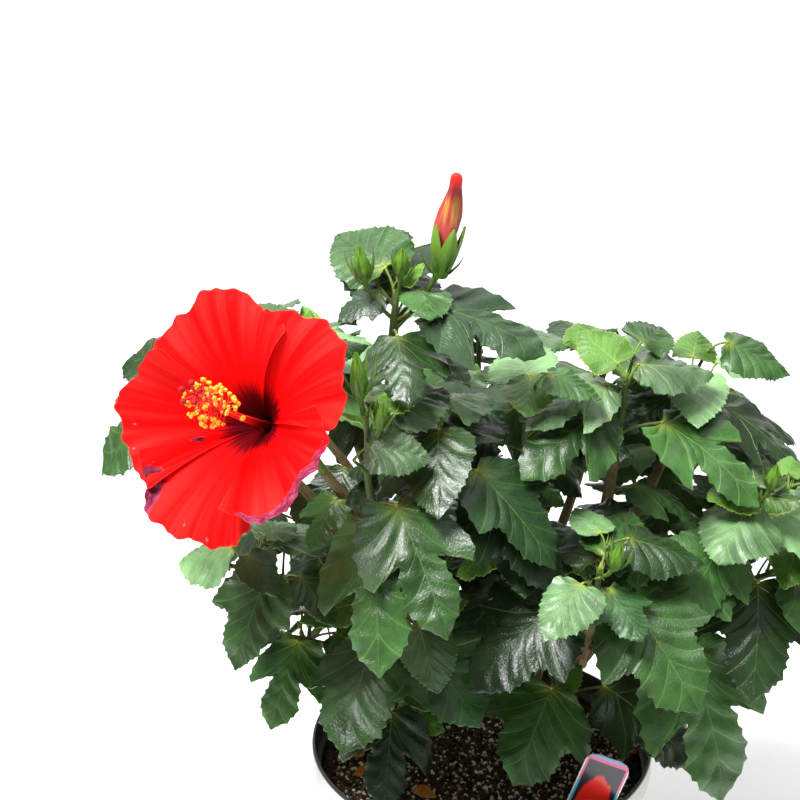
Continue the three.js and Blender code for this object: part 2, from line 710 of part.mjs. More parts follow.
function growTwig(mass, number, placed) {
  const dice = new Dice(mass.number * 6007 + number * 15013 + 5);
  const foot = along(mass.stem, TWIG.from + TWIG.pace * number);
  const turn = widestGap(mass.grown, mass.number) + dice.swing(TWIG_CHANCE.turn);
  const reach = TWIG.length + dice.swing(TWIG_CHANCE.length);
  const tip = add(foot, mul(towards(turn, TWIG.rise), reach));
  let leaves = 0;
  for (const { spread, size, rise } of TWIG_LEAVES) {
    const length = mass.size * size * (1 + dice.swing(TWIG_CHANCE.size));
    const stalk = length * TWIG_LEAF.stalk;
    const droop = mass.droop + TWIG_LEAF.droop + dice.swing(TWIG_CHANCE.droop);
    const shape = {
      length,
      roll: dice.swing(TWIG_CHANCE.roll),
      kind: 'ovate',
      fold: TWIG_LEAF.fold + dice.swing(TWIG_CHANCE.fold),
      bend: TWIG_LEAF.bend + dice.swing(TWIG_CHANCE.bend),
      width: TWIG_LEAF.width + dice.swing(TWIG_CHANCE.width),
    };
    if (tryLeaf(mass.name, tip, turn + spread, rise, stalk, droop, shape, placed)) leaves += 1;
  }
  if (leaves > 0) mass.sideTwigs.push([foot, between(foot, tip, 0.5), tip]);
}

// The leaves that show are placed first, then the others, then those of the side twigs
function growCrown() {
  const placed = [];
  const masses = Object.entries(MASSES).map(([name, mass], number) => {
    const grown = [...mass.bearings];
    for (let i = 0; i < mass.more; i += 1) grown.push(widestGap(grown, number));
    const stem = lineOn(BOUGHS[mass.on], mass.tip, STRAIGHT);
    return { ...mass, name, number, grown, stem, sideTwigs: [] };
  });
  for (const [name, stem] of Object.entries(STEMS)) addStick(name, stem.path, stem.foot, stem.tip);
  for (const [name, bough] of Object.entries(BOUGHS)) addStick(name, bough.path, bough.foot, bough.tip);
  for (const mass of masses) addStick(mass.name, mass.stem, BOUGHS[mass.on].tip, STEM_TIP);
  for (const bud of BUDS) addStick(bud.on, [bud.foot, bud.tip], bud.wide, bud.wide);
  for (const share of [-0.5, 0, 0.5]) {
    const x = share * LABEL.width;
    addStick('plant_label', [onLabel(x, LABEL.sunk), onLabel(x, LABEL.height)], LABEL.thick, LABEL.thick);
  }
  for (const mass of masses) {
    mass.bearings.forEach((bearing, i) => growLeaf(mass, i, bearing, placed));
  }
  for (const mass of masses) {
    mass.grown.forEach((bearing, i) => {
      if (i >= mass.bearings.length) growLeaf(mass, i, bearing, placed);
    });
  }
  for (const mass of masses) {
    for (let i = 0; i < mass.twigs; i += 1) growTwig(mass, i, placed);
  }
  return { masses, placed };
}

// Triangles between a row of points along the midrib and a row along the margin that ends at the tip
function ladder(ribs, margin) {
  const faces = [];
  let i = 0;
  let j = 0;
  while (i < ribs.length - 1 || j < margin.length - 1) {
    if (i < ribs.length - 1 && ribs[i + 1][0] < margin[j + 1][0]) {
      faces.push([ribs[i], ribs[i + 1], margin[j]]);
      i += 1;
    } else {
      faces.push([ribs[i], margin[j + 1], margin[j]]);
      j += 1;
    }
  }
  return faces;
}

// A leaf and its stalk as one closed shell. The blade's two faces meet at the margin and stand apart along
// the midrib, and the stalk is a four-sided tube that opens into the blade's foot
function leafSolid(leaf) {
  const thick = Math.max(LEAF.thick, LEAF.least / leaf.length) / 2;
  const stalk = STALK.radius / leaf.length;
  const middle = [0, 0];
  const edge = [0, stalk];
  const ribs = LEAF.ribs.map((x) => [x, 0]);
  const faces = [[middle, ribs[0], edge], ...ladder([edge, ...ribs], OUTLINES[leaf.kind])];
  const lifts = new Map([[middle, stalk], ...ribs.map((rib) => [rib, thick])]);
  const positions = [];
  for (const [p, q, r] of faces) {
    for (const across of [1, -1]) {
      for (const top of [1, -1]) {
        for (const corner of across === top ? [p, q, r] : [p, r, q]) {
          const width = corner === edge ? 1 : leaf.width;
          const lift = top * (lifts.get(corner) ?? 0);
          positions.push(...onLeaf(leaf, corner[0], across * corner[1] * width, lift));
        }
      }
    }
  }
  const path = stalkPath(leaf);
  const rings = path.slice(0, 2).map((centre, i) => {
    const ahead = unit(sub(path[i + 1], centre));
    const side = unit(sub(leaf.side, mul(ahead, dot(leaf.side, ahead))));
    const over = cross(ahead, side);
    return [over, side, mul(over, -1), mul(side, -1)].map((way) => add(centre, mul(way, STALK.radius)));
  });
  const corners = [[0, stalk], [stalk, 0], [0, -stalk], [-stalk, 0]];
  rings.push(corners.map(([y, z]) => onLeaf(leaf, 0, y, z)));
  for (let k = 0; k < 2; k += 1) {
    for (let i = 0; i < 4; i += 1) {
      const next = (i + 1) % 4;
      const [a, b, c, d] = [rings[k][i], rings[k + 1][i], rings[k][next], rings[k + 1][next]];
      positions.push(...a, ...b, ...c, ...c, ...b, ...d);
    }
  }
  const [top, right, bottom, left] = rings[0];
  positions.push(...top, ...right, ...bottom, ...top, ...bottom, ...left);
  const shape = new THREE.BufferGeometry();
  shape.setAttribute('position', new THREE.Float32BufferAttribute(positions, 3));
  return solidOf(shape);
}

// Buds and the furled bloom: a stalk, and a body that swells and comes to a point
function budSolids(bud, stem) {
  const from = along(stem, bud.from);
  const round = (share) => Math.sin(Math.PI * (BUD.from + BUD.reach * share));
  const swell = (share) => bud.wide * (BUD.neck + (1 - BUD.neck) * round(share));
  const middle = add(between(from, bud.foot, 0.5), [0, 0, -BUD.sag]);
  const sunk = between(bud.foot, bud.tip, BUD.sunk);
  return [
    limb([from, middle, sunk], () => BUD.pedicel, 4, 2),
    limb([bud.foot, bud.tip], swell, BUD.sides, 4),
  ];
}

function massSolid(mass, placed) {
  const solids = [limb(mass.stem, taper(BOUGHS[mass.on].tip, STEM_TIP), 5, 4)];
  for (const twig of mass.sideTwigs) solids.push(limb(twig, taper(TWIG.radius, STALK.radius), 3, 2));
  for (const { mass: owner, leaf } of placed) {
    if (owner === mass.name) solids.push(leafSolid(leaf));
  }
  for (const bud of BUDS) {
    if (bud.on === mass.name) solids.push(...budSolids(bud, mass.stem));
  }
  return fuse(solids);
}

// The open bloom

const BLOOM_RIGHT = unit(cross(UP, AXIS));
const BLOOM_UP = cross(AXIS, BLOOM_RIGHT);

function fromThroat(turn, radius, ahead) {
  const angle = radians(turn);
  const out = add(mul(BLOOM_RIGHT, Math.cos(angle)), mul(BLOOM_UP, Math.sin(angle)));
  return add(add(BLOOM.throat, mul(out, radius)), mul(AXIS, ahead));
}

// A point of a petal, from shares up its length and across it, on either face
function onPetal(petal, up, across, face) {
  const reach = petal.reach * (1 - BLOOM.round * across * across);
  const rim = BLOOM.mouth * reach - BLOOM.neck;
  const radius = BLOOM.neck + rim * up ** BLOOM.flat;
  const ahead = BLOOM.depth * (1 - (1 - up) ** BLOOM.swell) - petal.back * up ** 4;
  const turn = petal.turn + across * (petal.spread - BLOOM.narrowing * (1 - up));
  return fromThroat(turn, radius, ahead + BLOOM.lap * across * up + face * BLOOM.thick * 0.5);
}

// A patch whose two faces are grids that share no edge, closed by a rim between them
function petalSolid(petal) {
  const shape = new THREE.BoxGeometry(1, 1, 1, BLOOM.rings, BLOOM.ribs, 1);
  const points = shape.attributes.position;
  for (let i = 0; i < points.count; i += 1) {
    const up = points.getX(i) + 0.5;
    const across = points.getY(i) * 2;
    const face = points.getZ(i) > 0 ? 1 : -1;
    points.setXYZ(i, ...onPetal(petal, up, across, face));
  }
  return solidOf(shape);
}

function bloomSolid() {
  const cupFoot = fromThroat(0, 0, -CUP.length);
  const bend = fromThroat(0, 0, -CUP.length - BLOOM_STALK.bend);
  const bed = fromThroat(0, 0, BLOOM_STALK.tip - CUP.length);
  const stalk = [...lineOn(BOUGHS.bough_bloom, bend, BLOOM_STALK.straight), bed];
  const cup = (share) => CUP.narrow + (CUP.wide - CUP.narrow) * Math.sqrt(share);
  const solids = [
    limb(stalk, taper(BLOOM_STALK.foot, BLOOM_STALK.tip), 5, 6),
    limb([cupFoot, fromThroat(0, 0, CUP.inside)], cup, 8, 3),
    limb([fromThroat(0, 0, 0), fromThroat(0, 0, COLUMN.length)], () => COLUMN.radius, 6, 1),
    ball(fromThroat(0, 0, COLUMN.head + COLUMN.cloud), COLUMN.cloud),
  ];
  for (const petal of BLOOM.petals) solids.push(petalSolid(petal));
  return fuse(solids);
}

// The whole plant

const hibiscus = new THREE.Group();

function put(name, solid, look) {
  const material = new THREE.MeshStandardMaterial({ metalness: 0, ...LOOKS[look] });
  const mesh = new THREE.Mesh(geometryOf(solid), material);
  mesh.name = name;
  hibiscus.add(mesh);
}

put('pot', potSolid(), 'pot');
put('soil', soilSolid().subtract(labelSolid(GAP)), 'soil');
put('plant_label', labelSolid(0), 'label');

const cutters = [];
for (const [name, stem] of Object.entries(STEMS)) {
  put(name, stemSolid(stem, 0).subtract(groundSolid()), 'bark');
  cutters.push(stemSolid({ ...stem, path: pastTip(stem.path) }, GAP));
}
for (const [name, bough] of Object.entries(BOUGHS)) {
  const whole = boughSolid(bough, 0);
  const cut = cutters.reduce((rest, cutter) => rest.subtract(cutter), whole);
  put(name, largestPiece(cut), 'bark');
  cutters.push(boughSolid(bough, GAP));
}

const crown = growCrown();
for (const mass of crown.masses) put(mass.name, massSolid(mass, crown.placed), 'leaf');
put('bloom', bloomSolid(), 'bloom');

export default hibiscus;
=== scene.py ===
# A red-flowered hibiscus shrub in its nursery pot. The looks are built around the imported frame.
# Metres, +Z up, with the plant's front towards -Y. The growth rule works in millimetres, as the solids do.
import math
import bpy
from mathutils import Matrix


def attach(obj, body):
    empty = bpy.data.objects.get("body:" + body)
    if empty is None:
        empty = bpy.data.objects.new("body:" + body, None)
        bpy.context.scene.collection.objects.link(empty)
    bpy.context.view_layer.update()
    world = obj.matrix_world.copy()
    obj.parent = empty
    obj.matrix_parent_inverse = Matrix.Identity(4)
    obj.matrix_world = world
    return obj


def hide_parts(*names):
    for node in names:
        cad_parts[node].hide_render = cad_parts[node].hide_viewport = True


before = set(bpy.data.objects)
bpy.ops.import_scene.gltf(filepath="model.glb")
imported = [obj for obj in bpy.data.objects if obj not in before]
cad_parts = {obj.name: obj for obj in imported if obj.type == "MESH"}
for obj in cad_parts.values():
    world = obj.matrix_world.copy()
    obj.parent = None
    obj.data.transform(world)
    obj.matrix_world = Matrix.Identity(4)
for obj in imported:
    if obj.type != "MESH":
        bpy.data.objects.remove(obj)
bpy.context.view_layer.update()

from types import SimpleNamespace as Facts

import bmesh
import bpy
import numpy as np
from mathutils import Vector, noise

MM = 0.001

bl_info = {
    "name": "Potted hibiscus",
    "version": (1, 0, 0),
    "blender": (4, 5, 0),
    "location": "View3D > Sidebar > Hibiscus",
    "description": "Grows a hibiscus shrub with its blooms, buds, bark, soil and pot",
    "category": "Object",
}

# Sizes of the plant, in millimetres and degrees

GAP = 0.3
POT = Facts(height=170, rim=102.5, base=76, wall=2.2, floor=3)
SOIL_LEVEL = 152
FOOT = SOIL_LEVEL - 3
CROWN_RADIUS = 236
LABEL = Facts(
    width=26, height=92, point=26, tip=3, thick=0.9, sunk=42, at=(42, -60), lean=18, turn=-8, corner=7,
    bow=0.35)
FLARE = Facts(share=0.06, reach=0.5)

# Stems: the middle line from the soil to the fork, and the radius at the foot and at the tip
STEMS = {
    "stem_left": (((-44, 18, FOOT), (-47, 14, 212), (-50, 8, 268)), 7, 5.2),
    "stem_right": (((46, 32, FOOT), (52, 28, 190), (62, 20, 228)), 8.5, 6.4),
    "stem_middle": (((24, 40, FOOT), (38, 46, 210), (36, 52, 262)), 6, 4.8),
}
# Boughs: the stem each grows from, the share of its length where it leaves, its line, and its two radii
BOUGHS = {
    "bough_top": ("stem_left", 1, ((-60, 12, 330), (-55, 5, 395), (-53, 1, 430)), 4.4, 2.8),
    "bough_bloom": ("stem_left", 0.97, ((-72, 2, 315), (-92, -6, 350)), 3.8, 2.8),
    "bough_behind_bloom": ("stem_left", 0.9, ((-70, 30, 318), (-98, 34, 360)), 3.4, 2.2),
    "bough_left": ("stem_left", 0.82, ((-94, 20, 312), (-146, 8, 378)), 3.8, 2.4),
    "bough_low_left": ("stem_left", 0.74, ((-82, -4, 272), (-110, -16, 286)), 3, 2),
    "bough_front_left": ("stem_left", 0.94, ((-56, -18, 300), (-62, -38, 338)), 3.6, 2.6),
    "bough_centre": ("stem_left", 0.98, ((-34, -2, 305), (-30, -18, 345)), 3.4, 2.2),
    "bough_back_left": ("stem_left", 0.86, ((-66, 52, 312), (-84, 84, 350)), 3.6, 2.4),
    "bough_lower_left": ("stem_left", 0.5, ((-72, 2, 226), (-98, -8, 240)), 3, 2),
    "bough_base_left": ("stem_left", 0.42, ((-50, -4, 206), (-52, -20, 205)), 2.6, 1.8),
    "bough_front_low": ("stem_left", 0.66, ((-50, -8, 246), (-52, -22, 252)), 2.6, 1.8),
    "bough_back_low_left": ("stem_left", 0.56, ((-70, 44, 238), (-96, 70, 262)), 3, 2),
    "bough_front": ("stem_right", 1, ((62, -8, 255), (60, -36, 280)), 4.4, 3),
    "bough_front_centre": ("stem_right", 0.94, ((44, 4, 248), (34, -8, 268)), 3, 2),
    "bough_right": ("stem_right", 0.98, ((98, 12, 262), (134, 2, 296)), 4.6, 3),
    "bough_far_right": ("stem_right", 0.86, ((112, 24, 244), (154, 14, 268)), 3.6, 2.4),
    "bough_low_right": ("stem_right", 0.9, ((80, 2, 232), (94, -10, 236)), 3, 2),
    "bough_base_right": ("stem_right", 0.4, ((50, 8, 194), (46, -6, 202)), 2.8, 1.8),
    "bough_right_top": ("stem_right", 0.99, ((72, 34, 300), (76, 22, 358)), 4.6, 3),
    "bough_top_right": ("stem_right", 0.93, ((94, 50, 296), (114, 50, 346)), 4, 2.6),
    "bough_back_right": ("stem_right", 0.82, ((98, 74, 266), (136, 100, 306)), 4, 2.6),
    "bough_back_low_right": ("stem_right", 0.5, ((82, 62, 210), (104, 92, 234)), 3.2, 2.2),
    "bough_middle": ("stem_middle", 1, ((30, 36, 310), (24, 14, 350)), 3.6, 2.4),
    "bough_back": ("stem_middle", 0.94, ((26, 84, 306), (8, 104, 342)), 3.6, 2.4),
    "bough_back_middle": ("stem_middle", 0.86, ((62, 92, 300), (72, 112, 336)), 3.4, 2.2),
    "bough_back_low": ("stem_middle", 0.5, ((22, 84, 232), (4, 108, 256)), 3, 2),
}
# Masses of leaves, each on the bough of its name: the tip of the stem, the length of a full leaf, the droop,
# the bearings of the leaves in front, how many leaves come after them, and how many side twigs
MASSES = {
    "leaves_top": ((-50, -1, 461), 67, -10, (-140, -20, 95), 2, 0),
    "leaves_front_left": ((-67, -58, 406), 74, 14, (-92, -60, 40), 5, 1),
    "leaves_centre": ((-28, -30, 396), 67, 8, (-38, -62, -15), 4, 1),
    "leaves_behind_bloom": ((-118, 28, 400), 58, 6, (-60, 100, -20), 4, 1),
    "leaves_left": ((-172, -8, 416), 62, 6, (-148, -116, 100), 4, 1),
    "leaves_low_left": ((-146, -24, 300), 58, 20, (-120, -104, -150), 3, 1),
    "leaves_lower_left": ((-118, -16, 250), 54, 20, (-112, -60), 3, 1),
    "leaves_base_left": ((-53, -34, 203), 58, 6, (-92, -40), 0, 0),
    "leaves_front_low": ((-52, -38, 264), 70, 6, (-145, -58, 100), 1, 1),
    "leaves_back_left": ((-100, 102, 394), 70, 14, (), 7, 1),
    "leaves_back_low_left": ((-116, 90, 286), 70, 18, (), 6, 1),
    "leaves_front": ((59, -62, 316), 70, 0, (-48, -142, 98, -40), 5, 1),
    "leaves_front_centre": ((28, -24, 300), 67, 0, (-150, 100, 140, -80), 2, 1),
    "leaves_right": ((154, -12, 336), 66, 2, (-165, 122, -120, 98), 4, 1),
    "leaves_far_right": ((182, 4, 292), 66, 12, (-95, -40, 60), 3, 1),
    "leaves_low_right": ((108, -20, 242), 84, 16, (-62, -20), 2, 1),
    "leaves_base_right": ((40, -20, 212), 66, 4, (-45, -106, -160), 1, 0),
    "leaves_right_top": ((76, 0, 404), 67, -4, (-40, -140, 118, 48), 4, 1),
    "leaves_top_right": ((120, 44, 390), 66, 0, (22, -30, 90), 4, 1),
    "leaves_back_right": ((158, 112, 344), 70, 16, (), 7, 1),
    "leaves_back_low_right": ((124, 108, 260), 70, 20, (), 6, 1),
    "leaves_middle": ((24, 4, 398), 62, -2, (-125, 130, 60, -60), 4, 1),
    "leaves_back": ((0, 112, 388), 67, 12, (), 7, 1),
    "leaves_back_middle": ((80, 120, 378), 67, 12, (), 6, 1),
    "leaves_back_low": ((-6, 122, 278), 70, 18, (), 6, 1),
}
# The furled bloom and the buds: the mass, the share of its stem, the bud's foot and tip, and its radius
BUDS = (
    ("leaves_top", 0.1, (-28, -5, 466), (-23, -5, 523), 7),
    ("leaves_top", 0.35, (-69, -9, 463), (-71, -10, 484), 6),
    ("leaves_top", 0.6, (-49, -6, 466), (-48, -7, 482), 5),
    ("leaves_front_left", 0.9, (-70, -59, 417), (-72, -62, 444), 5.5),
    ("leaves_front_left", 0.7, (-60, -64, 402), (-58, -68, 418), 4),
    ("leaves_right", 0.95, (158, -16, 344), (160, -19, 360), 5),
    ("leaves_front", 0.95, (66, -66, 320), (69, -69, 337), 5),
)
STEM_TIP = 1.3
STRAIGHT = 0.42
STALK = Facts(radius=1.1, arch=1.5)
GOLDEN_ANGLE = 137.5
LEAN = Facts(front=0.3, out=0.3, crown=220)
ROOM = Facts(limb=1.6, stalk=2.6, own=2.2, other=3)
BLOOM_ROOM = Facts(wide=76, ahead=110, behind=60, narrow=26, widening=0.5)
POT_ROOM = Facts(beside=8, inside=12, over=6)
NUDGES = (
    (0, 0), (18, 0), (-18, 0), (0, -14), (0, 14), (36, 0), (-36, 0),
    (18, -14), (-18, -14), (18, 14), (-18, 14), (52, -8), (-52, -8), (0, 28),
)
SIZES = (1, 0.84, 0.68)
STICK_PACE = 5

# A leaf's habit at the tip of its stem, what age adds by the stem's foot, and how far chance moves it
YOUNG = Facts(length=0.5, stalk=0.3, rise=62, fold=0.2, bend=0.14, width=0.98)
AGED = Facts(length=0.5, stalk=0.16, rise=-40, droop=8, bend=0.14)
CHANCE = Facts(length=0.07, rise=8, turn=6, droop=8, roll=14, fold=0.25, bend=0.06, width=0.12)
ON_STEM = Facts(foot=0.08, length=0.9)
OVATE_BELOW_AGE = 0.4
LOBED_SHARE = 0.45
TWIG = Facts(length=20, rise=42, start=0.3, pace=0.3)
TWIG_LEAVES = ((-58, 0.62, 30), (62, 0.52, 46), (4, 0.42, 62))
TWIG_LEAF = Facts(stalk=0.3, droop=8, fold=0.2, bend=0.15, width=0.95)
TWIG_CHANCE = Facts(turn=30, length=4, size=0.1, droop=10, roll=14, fold=0.2, bend=0.06, width=0.1)

# Half outlines of a leaf: shares of its length along the midrib and across, from the notch to the tip
OUTLINES = {
    "ovate": ((-0.06, 0.12), (0.04, 0.34), (0.28, 0.41), (0.6, 0.31), (0.85, 0.13), (1, 0)),
    "lobed": ((-0.07, 0.16), (0.1, 0.37), (0.42, 0.49), (0.46, 0.29), (0.76, 0.23), (1, 0)),
    "deep": ((-0.09, 0.2), (0.14, 0.39), (0.52, 0.46), (0.4, 0.17), (0.76, 0.2), (1, 0)),
}
CREASE = 0.04
SAMPLES = Facts(
    along=(-0.05, 0.12, 0.26, 0.4, 0.54, 0.68, 0.82, 0.96), across=(-1, -0.66, -0.33, 0, 0.33, 0.66, 1))
ZONE = Facts(behind=0.14, ahead=1.05, beside=0.04, middle=0.45, reach=0.62)

BLOOM = Facts(
    throat=np.array((-121.0, -50.0, 398.0)), axis=np.array((-0.378, -0.793, 0.477)),
    mouth=66, depth=38, neck=5, flat=1.25, swell=1.6, narrowing=8, lap=2.4, half=0.35, round=0.2)
CUP = Facts(length=25, wide=9)
BLOOM_STALK_STRAIGHT = 0.3
COLUMN = Facts(length=80, bend=0.0012)

# The camera stands at the photograph's viewing angle, in a square frame
CAMERA = Facts(at=(-49.3, -923.8, 783.3), pitch=67, lens=81, sensor=36, side=800)
# Where the crown is open to the sky, the soil or the bark: the middle in the frame, and the radius
OPENINGS = (
    (255, 627, 28), (207, 560, 20), (733, 655, 36), (668, 742, 22), (612, 674, 26), (505, 393, 20),
    (502, 340, 18), (600, 440, 13), (453, 553, 10), (360, 232, 22), (404, 608, 16), (548, 688, 20),
    (588, 648, 14), (360, 730, 30), (622, 735, 22), (787, 533, 12), (300, 660, 14), (505, 512, 8),
    (470, 300, 10), (690, 365, 12),
)

# Growth that only the looks carry: more leaves and twigs in the room that is left
FINER = Facts(leaves=3, leaf_size=0.74, twigs=2, bough_leaves=(0.4, 0.62, 0.84), bough_size=52)
# Side twigs' leaves and finer leaves are ranked from these numbers, and boughs are numbered from this one
RANK = Facts(twig=40, finer=50)
FIRST_BOUGH = 100


# The growth rule

def vec(*numbers):
    return np.array(numbers, float)


def cross(a, b):
    return vec(a[1] * b[2] - a[2] * b[1], a[2] * b[0] - a[0] * b[2], a[0] * b[1] - a[1] * b[0])


def unit(a):
    return a / math.sqrt(a @ a)


UP = vec(0, 0, 1)
AXIS = unit(BLOOM.axis)


def towards(bearing, rise):
    b, r = math.radians(bearing), math.radians(rise)
    return vec(math.cos(b) * math.cos(r), math.sin(b) * math.cos(r), math.sin(r))


class Dice:
    """A seeded run of even numbers between 0 and 1."""

    def __init__(self, seed):
        self.state = seed
        for _ in range(3):
            self.roll()

    def roll(self):
        self.state = self.state * 16807 % 2147483647
        return self.state / 2147483647

    def swing(self, reach):
        return (2 * self.roll() - 1) * reach


def along(path, share):
    """The point at a share of the smooth line through a path's points."""
    spans = len(path) - 1
    k = min(int(share * spans), spans - 1)
    t = share * spans - k
    b, c = path[k], path[k + 1]
    a = path[k - 1] if k > 0 else 2 * b - c
    d = path[k + 2] if k + 2 <= spans else 2 * c - b
    return 0.5 * (2 * b + (c - a) * t + (2 * a - 5 * b + 4 * c - d) * t**2 + (3 * b - a - 3 * c + d) * t**3)


def length_of(path):
    return sum(math.dist(a, b) for a, b in zip(path, path[1:]))


def half_width(x):
    """The greatest half width of any blade at a share of its length."""
    return np.where(x < 0, 0.3, np.where(x < 0.5, 0.32 + 0.4 * x, 0.04 + 0.96 * (1 - x)))


def sheet_height(leaf, x, y):
    aside = np.sqrt(y * y + CREASE * CREASE) - CREASE
    return -leaf.fold * aside - leaf.bend * np.maximum(x, 0) ** 2


def on_leaf(leaf, x, y, z):
    """Points of the plant's frame from shares of the leaf's length along, across and above its blade."""
    x, y, z = np.broadcast_arrays(x, y, z)
    place = x[..., None] * leaf.out + y[..., None] * leaf.side + z[..., None] * leaf.up
    return leaf.base + place * leaf.length


def make_leaf(foot, base, bearing, droop, shape):
    lean = vec(LEAN.out * base[0] / LEAN.crown, LEAN.out * base[1] / LEAN.crown - LEAN.front, 0)
    ahead = towards(bearing, -droop)
    up = unit(cross(ahead, unit(cross(UP, ahead))) + lean)
    side = unit(cross(up, ahead))
    c, s = math.cos(math.radians(shape["roll"])), math.sin(math.radians(shape["roll"]))
    leaf = Facts(**shape, foot=foot, base=base)
    leaf.out = cross(side, up)
    leaf.side = side * c + up * s
    leaf.up = up * c - side * s
    leaf.middle = on_leaf(leaf, ZONE.middle, 0, sheet_height(leaf, ZONE.middle, 0))
    x = np.array(SAMPLES.along)[:, None]
    y = np.array(SAMPLES.across)[None, :] * half_width(x) * leaf.width
    leaf.points = on_leaf(leaf, x, y, sheet_height(leaf, x, y)).reshape(-1, 3)
    return leaf


def near_blade(leaf, points, room):
    """Which points lie within the room of a leaf's blade."""
    away = points - leaf.base
    x, y = away @ leaf.out / leaf.length, away @ leaf.side / leaf.length
    z = away @ leaf.up / leaf.length - sheet_height(leaf, x, y)
    beside = np.abs(y) <= half_width(x) * leaf.width + ZONE.beside
    return (x >= -ZONE.behind) & (x <= ZONE.ahead) & beside & (np.abs(z) * leaf.length < room)


def in_bloom(points):
    away = points - BLOOM.throat
    ahead = away @ AXIS
    aside = np.sqrt(np.maximum((away * away).sum(-1) - ahead * ahead, 0))
    front = (ahead > 0) & (aside < BLOOM_ROOM.wide) & (ahead < BLOOM_ROOM.ahead)
    cone = BLOOM_ROOM.narrow + BLOOM_ROOM.widening * (ahead + BLOOM_ROOM.behind)
    return front | ((ahead <= 0) & (ahead > -BLOOM_ROOM.behind) & (aside < cone))


def in_pot(points):
    radius = np.hypot(points[:, 0], points[:, 1])
    near_rim = (radius > POT.rim - POT_ROOM.inside) & (points[:, 2] < POT.height + POT_ROOM.over)
    return (radius <= POT.rim + POT_ROOM.beside) & (near_rim | (points[:, 2] < SOIL_LEVEL + POT_ROOM.over))


def out_of_space(points):
    return in_bloom(points) | in_pot(points) | (np.hypot(points[:, 0], points[:, 1]) > CROWN_RADIUS)


def on_label(x, y):
    """A point of the label's plane in the plant's frame."""
    lean, turn = math.radians(LABEL.lean), math.radians(LABEL.turn)
    aside = x * math.cos(lean) + y * math.sin(lean)
    height = y * math.cos(lean) - x * math.sin(lean)
    return vec(LABEL.at[0] + aside * math.cos(turn), LABEL.at[1] + aside * math.sin(turn),
               SOIL_LEVEL - LABEL.sunk + height)


def in_openings(points):
    """Whether any of the points shows in an opening of the crown."""
    pitch = math.radians(CAMERA.pitch)
    away = points - vec(*CAMERA.at)
    depth = away @ vec(0, math.sin(pitch), -math.cos(pitch))
    scale = CAMERA.side * CAMERA.lens / CAMERA.sensor / depth
    across = CAMERA.side / 2 + scale * away[:, 0]
    down = CAMERA.side / 2 - scale * (away @ vec(0, math.cos(pitch), math.sin(pitch)))
    return any((np.hypot(across - x, down - y) < radius).any() for x, y, radius in OPENINGS)


def widest_gap(bearings, salt):
    """The middle of the widest gap between bearings."""
    if not bearings:
        return salt * GOLDEN_ANGLE % 360
    if len(bearings) == 1:
        return (bearings[0] + GOLDEN_ANGLE + 360) % 360
    ordered = sorted(b % 360 for b in bearings)
    widest, middle = -1, 0
    for bearing, following in zip(ordered, ordered[1:] + [ordered[0] + 360]):
        if following - bearing > widest + 1e-6:
            widest = following - bearing
            middle = bearing + widest / 2
    return middle % 360


def line_on(path, end, straight):
    """The line that runs on from just past a bough's tip, straight at first and then to its own end."""
    lead = unit(path[-1] - path[-2])
    foot = path[-1] + lead * GAP
    return [foot, foot + lead * straight * math.dist(foot, end), end]


def stalk_path(leaf):
    return [leaf.foot, (leaf.foot + leaf.base) / 2 + vec(0, 0, STALK.arch), leaf.base]


